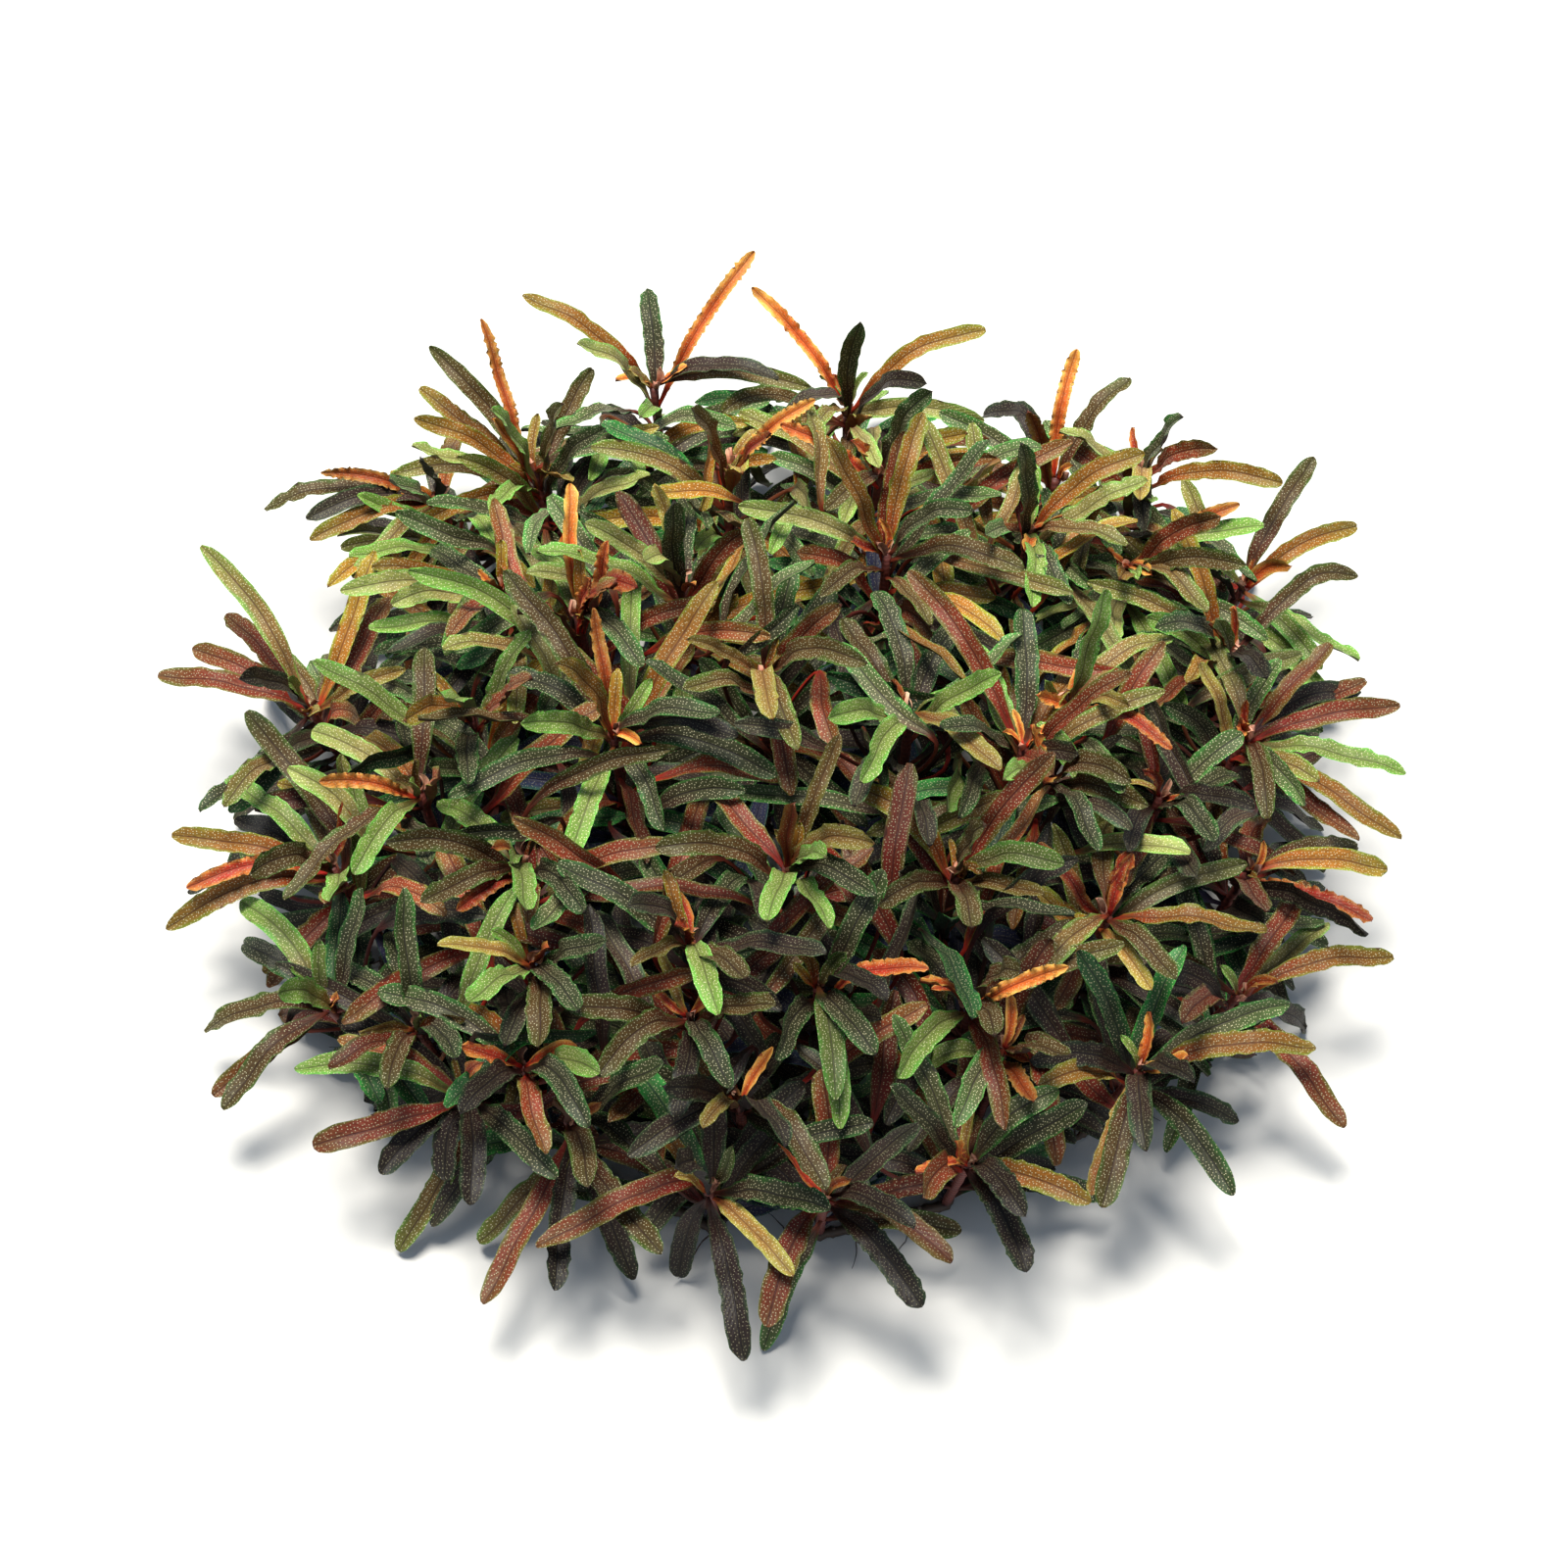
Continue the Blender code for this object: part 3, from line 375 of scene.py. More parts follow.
def tip_point(base, line, length, pitch):
    """The point of a sight line that suits a leaf of this length and upward angle from the base."""
    eye, way = line
    before, steps, step_length = TIP_SEARCH
    best = None
    for step in range(steps):
        point = eye + way * (VIEW_DISTANCE - before + step * step_length)
        reach = point - base
        if point.z < FLOOR_CLEARANCE or reach.length > LONGEST_LEAF:
            continue
        angle = math.asin(reach.z / reach.length)
        angle_cost = ((angle - pitch) / PITCH_TOLERANCE) ** 2
        cost = angle_cost + ((reach.length / CHORD_SHARE - length) / LENGTH_TOLERANCE) ** 2
        if best is None or cost < best[0]:
            best = (cost, point)
    if best:
        return best[1]
    point = nearest_on_line(line, base)
    reach = point - base
    return base + reach * min(1, LONGEST_LEAF / max(reach.length, 1e-6))


def spline(knots, share):
    """The point at this share of a smooth curve through the knots."""
    spans = [(b - a).length for a, b in zip(knots, knots[1:])]
    target = share * sum(spans)
    index = 0
    while index < len(spans) - 1 and target > spans[index]:
        target -= spans[index]
        index += 1
    start = knots[index]
    end = knots[index + 1]
    local = min(max(target / spans[index], 0), 1)
    before = knots[index - 1] if index > 0 else start * 2 - end
    after = knots[index + 2] if index + 2 < len(knots) else end * 2 - start
    if index == 0 and len(knots) > 2:
        before = start * 2.5 - end * 2 + after * 0.5
    if index + 2 == len(knots) and len(knots) > 2:
        after = end * 2.5 - start * 2 + before * 0.5
    square = local * local
    cube = square * local
    return 0.5 * (
        2 * start
        + (end - before) * local
        + (2 * before - 5 * start + 4 * end - after) * square
        + (3 * start - before - 3 * end + after) * cube
    )


def leaf_frames(knots, shares, facing):
    """The point, the sideways direction and the upper face's direction at each of these shares of a leaf."""
    step = 0.03
    frames = []
    last_side = None
    for share in shares:
        tangent = (spline(knots, min(share + step, 1)) - spline(knots, max(share - step, 0))).normalized()
        side = tangent.cross(facing)
        if last_side and side.length < 0.3:
            side = side + last_side * 0.5
        side = (side - tangent * side.dot(tangent)).normalized()
        if last_side and side.dot(last_side) < 0:
            side = -side
        last_side = side
        frames.append((spline(knots, share), side, side.cross(tangent)))
    return frames


def leaf_facing(knots, roll):
    """A direction square to the leaf's chord, towards which its upper face turns."""
    chord = (knots[-1] - knots[0]).normalized()
    hint = Vector((0, 0, LIGHT_PULL)) - FORWARD * EYE_PULL
    across = hint - chord * hint.dot(chord)
    if across.length < 0.1:
        across = chord.orthogonal()
    return Quaternion(chord, roll) @ across.normalized()


def leaf_rings(knots, facing, width):
    """Three corners at each station of the leaf: its right edge, its keel and its left edge, then the tip."""
    rings = []
    shares = [share for share, _ in BLADE_STATIONS]
    for (_, wide), (point, side, upper) in zip(BLADE_STATIONS, leaf_frames(knots, shares, facing)):
        half = side * (max(width * wide, PETIOLE_WIDTH) / 2)
        lift = upper * (width * wide * 0.12)
        rings.append((point + half + lift, point - upper * LEAF_THICKNESS, point - half + lift))
    return rings, knots[-1]


def ring_faces(levels):
    """The triangles between this many rings of three corners and up to the tip."""
    faces = []
    for level in range(levels - 1):
        for corner in range(3):
            after = (corner + 1) % 3
            low = 3 * level
            faces.append((low + corner, low + after, low + 3 + after))
            faces.append((low + corner, low + 3 + after, low + 3 + corner))
    last = 3 * (levels - 1)
    for corner in range(3):
        faces.append((last + corner, last + (corner + 1) % 3, last + 3))
    return faces


def neck_faces(seat, ring, turn, leaning):
    """The triangles from a seat's corners to a leaf's first ring, turned against it and leaning one way."""
    faces = []
    for corner in range(3):
        low = seat[(corner + turn) % 3]
        low_after = seat[(corner + turn + 1) % 3]
        high = ring[corner]
        high_after = ring[(corner + 1) % 3]
        if leaning:
            faces.append((low, low_after, high_after))
            faces.append((low, high_after, high))
        else:
            faces.append((low, low_after, high))
            faces.append((low_after, high_after, high))
    return faces


def pierces(start, end, triangle):
    """Whether the line from start to end passes through the triangle."""
    way = end - start
    hit = intersect_ray_tri(*triangle, way, start, True)
    return hit is not None and 1e-6 < (hit - start).dot(way) / way.length_squared < 1 - 1e-6


def tree_of(triangles):
    points = [corner for triangle in triangles for corner in triangle]
    faces = [(3 * index, 3 * index + 1, 3 * index + 2) for index in range(len(triangles))]
    return BVHTree.FromPolygons(points, faces)


def cross(first, second):
    """Whether any triangle of the first list cuts one of the second. Those that share an edge don't count."""
    for one, two in tree_of(first).overlap(tree_of(second)):
        mine = first[one]
        other = second[two]
        shared = [corner for corner in mine if corner in other]
        if not shared:
            return True
        if len(shared) > 1:
            continue
        my_edge = [corner for corner in mine if corner not in shared]
        other_edge = [corner for corner in other if corner not in shared]
        if pierces(*my_edge, other) or pierces(*other_edge, mine):
            return True
    return False


class Solid:
    """A placed piece's surface with the box around it."""

    def __init__(self, points, faces, spread):
        self.tree = BVHTree.FromPolygons(points, faces, epsilon=spread)
        self.low = [min(p[axis] for p in points) - spread for axis in range(3)]
        self.high = [max(p[axis] for p in points) + spread for axis in range(3)]

    def meets(self, other):
        for axis in range(3):
            if self.low[axis] > other.high[axis] or other.low[axis] > self.high[axis]:
                return False
        return bool(self.tree.overlap(other.tree))


def stem_rings(foot, crown, collars):
    """The stem's rings from its foot to its crown, and each stretch's collar number or None.

    Collar 0 is nearly half-way up and carries the oldest leaves. The others are below the crown.
    """
    length = (crown - foot).length
    axis = (crown - foot).normalized()
    collar = min(COLLAR_LENGTH, length * 0.5 / collars)
    low = foot + axis * (length * LOW_COLLAR_SHARE - collar)
    places = [foot, low, low + axis * collar]
    kinds = [None, 0, None]
    for index in range(collars):
        places.append(crown - axis * (collar * (collars - 1 - index)))
        if index > 0:
            kinds.append(index)
    rings = []
    for level, place in enumerate(places):
        radius = STEM_RADIUS * (1.0 if level < len(places) - 1 else 0.8)
        ring = []
        for corner in range(STEM_SIDES):
            angle = math.tau * (corner + 0.5) / STEM_SIDES
            ring.append(place + level_way(angle) * radius)
        rings.append(ring)
    return rings, kinds


def stem_mesh(rings, kinds):
    """The stem's points and faces. Each side of a collar is two triangles that can each carry a leaf."""
    points = [point for ring in rings for point in ring]
    faces = [tuple(reversed(range(STEM_SIDES)))]
    seats = []
    for level, kind in enumerate(kinds):
        for corner in range(STEM_SIDES):
            after = (corner + 1) % STEM_SIDES
            low = level * STEM_SIDES
            high = low + STEM_SIDES
            halves = seats if kind is not None else faces
            halves.append((low + corner, low + after, high + corner))
            halves.append((low + after, high + after, high + corner))
    top = (len(rings) - 1) * STEM_SIDES
    points.append(sum(rings[-1], Vector()) / STEM_SIDES + Vector((0, 0, STEM_RADIUS * 2)))
    for corner in range(STEM_SIDES):
        faces.append((top + corner, top + (corner + 1) % STEM_SIDES, len(points) - 1))
    return points, faces, seats


class Shoot:
    """A stem with the seats for its leaves, and the leaves placed so far."""

    def __init__(self, index, crown_place, leaves):
        self.index = index
        self.crown = crown_point(*crown_place)
        self.named_leaves = leaves
        self.foot = Vector((self.crown.x * FOOT_SHARE, self.crown.y * FOOT_SHARE, RHIZOME_HEIGHT + GAP))
        self.collars = 1 + math.ceil((len(leaves) + SPARE_SEATS) / LEAVES_A_COLLAR)
        self.points, self.faces, self.seats = stem_mesh(*stem_rings(self.foot, self.crown, self.collars))
        self.used = set()
        self.leaves = []
        self.leaf_triangles = []
        self.missing = []
        self.solids = [Solid(self.points, self.faces + self.seats, CLEARANCE)]

    def corners(self, face):
        return tuple(self.points[corner].freeze() for corner in face)

    def triangles_but(self, seat):
        """All triangles of the stem and the leaves so far, but for one free seat."""
        unused = [face for index, face in enumerate(self.seats) if index not in self.used and index != seat]
        return [self.corners(face) for face in self.faces + unused] + self.leaf_triangles

    def seats_for(self, direction, upper):
        """The free seats on the upper or the lower collars, those that face this way first."""
        flat = Vector((direction.x, direction.y, 0)).normalized()
        found = []
        for index, seat in enumerate(self.seats):
            if index in self.used or upper != (index >= LEAVES_A_COLLAR):
                continue
            a, b, c = (self.points[corner] for corner in seat)
            facing = (b - a).cross(c - a).normalized()
            found.append((-facing.dot(flat), index, (a + b + c) / 3))
        found.sort(key=lambda seat: seat[:2])
        return [seat[1:] for seat in found]

    def add_leaf(self, tone, knots, facing, width, seat, triangles):
        self.used.add(seat)
        self.leaves.append((tone, knots, facing, width))
        self.leaf_triangles.extend(triangles)


def preferred_pitch(shoot, direction, young):
    """The upward angle of a leaf's chord.

    Outer leaves hang towards the floor, but those at the back stand up, and so do young ones.
    """
    outwards = Vector((shoot.crown.x, shoot.crown.y, 0))
    share = outwards.length / CUSHION_RADIUS
    flat = Vector((direction.x, direction.y, 0))
    turned = outwards.normalized().dot(flat.normalized()) if flat.length and outwards.length else 0
    behind = max(shoot.crown.y / CUSHION_RADIUS, 0) * max(turned, 0)
    pitch = MIDDLE_PITCH - OUTWARD_DROOP * share * share * max(turned, 0) - RIM_DROOP * share
    pitch = pitch + BACK_RISE * behind
    return pitch + (YOUNG_RISE if young else 0)


def fitted_leaf(shoot, seat, knots, facing, width, others, rhizomes):
    """The leaf's solid and its triangles if they meet nothing, or None."""
    rings, tip = leaf_rings(knots, facing, width)
    points = [corner for ring in rings for corner in ring] + [tip]
    if min(point.z for point in points) < FLOOR_CLEARANCE * 0.7:
        return None
    seat_corners = shoot.corners(shoot.seats[seat])
    whole = Solid(list(seat_corners) + points, ring_faces(len(rings) + 1), CLEARANCE)
    for other in others:
        if other is not shoot and any(whole.meets(solid) for solid in other.solids):
            return None
    if any(whole.meets(rhizome) for rhizome in rhizomes):
        return None
    fixed = [point.freeze() for point in points]
    blade = [tuple(fixed[corner] for corner in face) for face in ring_faces(len(rings))]
    rest = shoot.triangles_but(seat)
    if cross(blade, rest):
        return None
    for turn in range(3):
        for leaning in (True, False):
            neck = neck_faces(seat_corners, fixed[:3], turn, leaning)
            if not cross(neck, neck) and not cross(neck, blade) and not cross(neck, rest):
                return whole, neck + blade
    return None


def leaf_knots(base, tip, bow, middle, start):
    """The leaf's knots: its base, the named start or bend or a middle that bows upwards, and its tip."""
    knots = [base]
    if start:
        knots.append(nearest_on_line(start, base.lerp(tip, 0.25) + Vector((0, 0, 0.003))))
    if middle:
        knots.append(nearest_on_line(middle, base.lerp(tip, 0.5) + Vector((0, 0, bow))))
    elif not start:
        knots.append(base.lerp(tip, 0.45) + Vector((0, 0, bow)))
    knots.append(tip)
    return knots


def place_named(shoot, number, leaf, others, rhizomes):
    """Places a leaf whose tip is named in the picture. It shifts a little where others are in its way."""
    tone, across, down = leaf[:3]
    mark, mark_place = (leaf[3], leaf[4:6]) if len(leaf) > 3 else ("", None)
    young = tone in YOUNG_TONES
    line = sight_line(across, down)
    rough = nearest_on_line(line, shoot.crown) - shoot.crown
    length = LEAF_LENGTH * (YOUNG_LENGTH_SHARE if young else 1.0)
    width = LEAF_WIDTH * (YOUNG_WIDTH_SHARE if young else 1.0)
    for attempt in range(PLACE_ATTEMPTS):
        chance = random.Random(f"leaf {shoot.index} {number} {attempt}")
        loose = attempt / 10
        shift = max(0, attempt - 14) * 1.5
        line = sight_line(across + chance.uniform(-shift, shift), down + chance.uniform(-shift, shift))
        pitch = preferred_pitch(shoot, rough, young) + chance.uniform(-0.30, 0.30) * loose
        wanted = length * (1 + chance.uniform(-0.12, 0.12) * loose)
        tip = tip_point(shoot.crown, line, wanted, pitch)
        bow = (tip - shoot.crown).length * (0.10 + 0.10 * chance.random())
        middle = sight_line(*mark_place) if mark == "via" else None
        start = sight_line(*mark_place) if mark == "from" else None
        roll = chance.uniform(-0.3, 0.3) * (1 + loose)
        wide = width * chance.uniform(0.92, 1.08)
        for seat, base in shoot.seats_for(tip - shoot.crown, True)[:SEATS_TRIED]:
            knots = leaf_knots(base, tip, bow, middle, start)
            facing = leaf_facing(knots, roll)
            fitted = fitted_leaf(shoot, seat, knots, facing, wide, others, rhizomes)
            if fitted:
                shoot.add_leaf(tone, knots, facing, wide, seat, fitted[1])
                shoot.solids.append(fitted[0])
                return True
    return False


def place_free(shoot, number, others, rhizomes):
    """Places an old leaf low on the shoot, in a direction that is still free."""
    turns = number * GOLDEN_ANGLE + shoot.index
    for attempt in range(PLACE_ATTEMPTS):
        chance = random.Random(f"free {shoot.index} {number} {attempt}")
        heading = turns + chance.uniform(-0.5, 0.5) * (1 + attempt / 3)
        flat = level_way(heading)
        pitch = preferred_pitch(shoot, flat, False) - chance.uniform(0.0, 0.5)
        length = LEAF_LENGTH * chance.uniform(0.72, 0.98)
        bow = length * chance.uniform(0.08, 0.2)
        roll = chance.uniform(-0.4, 0.4)
        width = LEAF_WIDTH * chance.uniform(0.85, 1.0)
        tone = chance.choice(FREE_TONES)
        for seat, base in shoot.seats_for(flat, False)[:SEATS_TRIED]:
            tip = base + raised_way(flat, pitch) * length
            tip.z = max(tip.z, FLOOR_CLEARANCE)
            if math.hypot(tip.x, tip.y) > CUSHION_RADIUS * 1.04:
                continue
            knots = leaf_knots(base, tip, bow, None, None)
            facing = leaf_facing(knots, roll)
            fitted = fitted_leaf(shoot, seat, knots, facing, width, others, rhizomes)
            if fitted:
                shoot.add_leaf(tone, knots, facing, width, seat, fitted[1])
                shoot.solids.append(fitted[0])
                return True
    return False


def rhizome_routes(shoots):
    """For each sector of the floor, the feet that its rhizome passes, from the middle outwards."""
    routes = []
    for sector in range(SECTORS):
        feet = []
        for shoot in shoots:
            angle = math.atan2(shoot.foot.y, shoot.foot.x) % math.tau
            if int(angle / math.tau * SECTORS) == sector:
                feet.append(Vector((shoot.foot.x, shoot.foot.y, 0)))
        feet.sort(key=lambda foot: foot.length)
        route = feet[:1]
        rest = feet[1:]
        while rest:
            nearest = min(rest, key=lambda foot: (foot - route[-1]).length + 0.3 * foot.length)
            rest.remove(nearest)
            route.append(nearest)
        if len(route) > 1:
            ahead = (route[-1] - route[-2]).normalized()
        else:
            ahead = route[-1].normalized()
        route.append(route[-1] + ahead * RHIZOME_END)
        back = (route[0] - route[1]).normalized()
        route.insert(0, route[0] + back * (RHIZOME_END / 2))
        routes.append(route)
    return routes


def rhizome_points(route):
    """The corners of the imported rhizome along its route: a flat underside on the floor and a narrower top."""
    corners = ((-0.5, 0), (0.5, 0), (0.34, RHIZOME_HEIGHT), (-0.34, RHIZOME_HEIGHT))
    points = []
    ways = [(after - before).normalized() for before, after in zip(route, route[1:])]
    for index, place in enumerate(route):
        way_in = ways[max(index - 1, 0)]
        way_out = ways[min(index, len(ways) - 1)]
        side = (way_in + way_out).normalized().cross(Vector((0, 0, 1)))
        width = RHIZOME_WIDTH * (0.6 if index in (0, len(route) - 1) else 1)
        for across, height in corners:
            points.append(place + side * (across * width) + Vector((0, 0, height)))
    return points


def rhizome_solid(route):
    """A box along each stretch of a rhizome, which the leaves keep clear of."""
    points = []
    faces = []
    for start, end in zip(route, route[1:]):
        side = (end - start).normalized().cross(Vector((0, 0, 1))) * (RHIZOME_WIDTH * 0.6)
        first = len(points)
        for place in (start, end):
            for offset in (-side, side):
                points.append(place + offset)
                points.append(place + offset + Vector((0, 0, RHIZOME_HEIGHT + GAP)))
        for face in ((0, 2, 3, 1), (4, 5, 7, 6), (0, 4, 6, 2), (1, 3, 7, 5), (0, 1, 5, 4), (2, 6, 7, 3)):
            faces.append(tuple(first + corner for corner in face))
    return Solid(points, faces, CLEARANCE)


def grow_shoots():
    """All shoots with their leaves, and the routes of the rhizomes under them."""
    shoots = []
    for index, (place, leaves) in enumerate(SHOOTS):
        shoots.append(Shoot(index, place, leaves))
    routes = rhizome_routes(shoots)
    rhizomes = [rhizome_solid(route) for route in routes]
    for shoot in shoots:
        for number, leaf in enumerate(shoot.named_leaves):
            if not place_named(shoot, number, leaf, shoots, rhizomes):
                shoot.missing.append(number)
    for shoot in shoots:
        for number in range(max(LEAVES_A_SHOOT - len(shoot.leaves), 1)):
            place_free(shoot, number, shoots, rhizomes)
    return shoots, routes


# The fine leaf, in metres and shares of its length.
ALONG = 40
ALONG_YOUNG = 60
ACROSS = (-1.0, -0.66, -0.24, 0.0, 0.24, 0.66, 1.0)
ACROSS_INNER = (-1.0, -0.5, 0.0, 0.5, 1.0)
PETIOLE_RADIUS = 0.00055
RIB_THICKNESS = 0.0007
EDGE_THICKNESS = 0.0002
CHANNEL = 0.26
RIB_GROOVE = 0.00022
RUFFLE_LENGTH = 0.0078
RUFFLE_HEIGHT = 0.0005
YOUNG_RUFFLE = 0.0008
# A leaf this wide or wider has its whole ruffle.
FULL_RUFFLE_WIDTH = 0.005
# This share of the flame and ember leaves is finely waved, with waves of this share of the usual length.
WAVED_SHARE = 0.8
YOUNG_WAVE_SHARE = 0.42
# How deep the edge is notched, as a share of half the width, on the other leaves and on the waved ones.
SCALLOP = 0.09
YOUNG_SCALLOP = 0.24
# The most that a leaf twists up to its tip, in radians, and sways to one side.
TWIST = 0.5
SWAY = 0.0016
# The blade's gentle bends, and the length over which its waves swell and fade.
BEND_HEIGHT = 0.0006
BEND_LENGTH = 0.019
SWELL_LENGTH = 0.0173
# Where the last ring before the tip lies, the least share of the width, and the least thickness.
LAST_STATION = 0.995
NARROWEST = 0.06
THINNEST = 0.0001
# The share of a solid leaf's width that its fine leaf has, and its fall for each metre to the back.
FULL_WIDTH = 0.90
WIDTH_FALL = 0.9
# The ripening leaves are broader than their young solids.
COPPER_WIDTH = 1.35
# The small leaves and the sheaths of a crown: how many of each, their lengths, and their widths as a share.
SPROUTS = 3
SHEATHS = 2
SPROUT_LENGTH = (0.008, 0.02)
SHEATH_LENGTH = (0.0035, 0.006)
SPROUT_WIDTH = 0.2
SHEATH_WIDTH = 0.36
SPROUT_TONES = ("flame", "ember", "gold", "lime", "flame", "bronze")
SPROUT_STATIONS = 12
SHEATH_CHANNEL = 0.8
TONES = (
    "moss", "olive", "lime", "sage", "bronze", "rust", "dusk", "ember", "flame", "gold", "fern", "shade",
    "copper", "sheath",
)
# The mesh-only leaves of each shoot, by layer: how many, the shares of the stem where they start, how far
# they droop below the usual pitch in radians, their shares of a leaf's length, and their tones.
LAYERS = (
    (9, (0.42, 0.93), (-0.85, 0.25), (0.70, 1.15), "olive moss lime bronze sage moss rust".split()),
    (8, (0.50, 0.85), (-0.10, 0.55), (0.70, 1.10), "moss olive moss rust bronze dusk fern".split()),
    (8, (0.22, 0.60), (0.20, 0.90), (0.65, 1.00), "dusk fern shade moss shade rust".split()),
    (12, (0.03, 0.36), (0.10, 0.80), (0.70, 1.05), "shade shade fern shade dusk".split()),
)
# This share of the leaves of the two upper layers stand on long stalks that rise beside their own stem.
STALKED_SHARE = 0.6
STALK_REACH = (0.007, 0.020)
# How far below the crowns' level a stalk ends, and how much lower still for each layer.
STALK_DEPTH = (0.001, 0.012)
STALK_LAYER_STEP = 0.006
LAYER_ATTEMPTS = 8
LAYER_CLEARANCE = 0.0001
# The first leaves of the uppermost layer may lie over their own crown: how many, the share of them that
# does, the share of the cushion's radius inside which they do, how high over it, and how far to its sides.
OVER_CROWN = 3
OVER_CROWN_SHARE = 0.5
OVER_CROWN_REACH = 0.72
OVER_CROWN_HEIGHT = (0.003, 0.008)
OVER_CROWN_BEFORE = (0.010, 0.018)
OVER_CROWN_AFTER = (0.014, 0.026)
OVER_CROWN_SIDE = 0.007
# Painted shade: how much is taken off the brightness of each layer's leaves, which lie deeper under the crowns.
# The lowest ones have dark tones already, and are lightened instead.
LAYER_PAINTED_SHADE = (-0.04, 0.08, 0.18, -0.30)
# The bluish leaves of the deep shade stay inside this share of the cushion's radius.
SHADE_REACH = 0.72
# The outline that the mesh-only leaves keep inside in the picture: its middle, half its width and height,
# and its power, which would be 2 for an ellipse.
HEART_MIDDLE = (800, 812)
HEART_REACH = (572, 408)
HEART_POWER = 2.5
# Towards the front, partly as painted shade where less light falls and partly as the leaves' own darker
# colours, more and more of the mesh-only leaves take the darker tone on the right: the share that does at the
# middle, and the distance over which that share grows by one.
DARKER_SHARE = 0.35
DARKER_DISTANCE = 0.13
FRONT_TONES = {
    "lime": "moss",
    "sage": "fern",
    "olive": "rust",
    "bronze": "rust",
    "moss": "dusk",
    "rust": "dusk",
}
# How many stations along and which columns across a leaf of each layer has.
DETAIL = ((20, ACROSS), (16, ACROSS_INNER), (16, ACROSS_INNER), (11, (-1.0, 0.0, 1.0)))
# Shoots behind this line have this many more leaves in each layer, which head for the front.
BACK_LINE = 0.04
BACK_EXTRA = 5
# The brightness of the leaves that aren't named, and how much painted light raises it for each metre to the
# back, where more light falls.
LOOK_SPREAD = 0.85
LOOK_LEAST = 0.08
BACK_LIGHT = 2.6
YOUNG_BACK_LIGHT = 0.8
BRIGHTEST = 0.80
# How light the named leaves of each tone are, how much they differ, and how much painted light raises that
# towards the back.
NAMED_LIGHT = {
    "moss": 0.22,
    "olive": 0.13,
    "lime": 0.66,
    "sage": 0.64,
    "bronze": 0.38,
    "rust": 0.44,
    "dusk": 0.06,
    "fern": 0.26,
}
NAMED_SPREAD = 0.16
NAMED_BACK_LIGHT = 1.2
NEIGHBOUR_DISTANCE = 0.115
# A drawn stem's rings, of which each second one is a little thicker.
STEM_STEPS = 10


def smooth_step(low, high, value):
    share = min(max((value - low) / (high - low), 0), 1)
    return share * share * (3 - 2 * share)


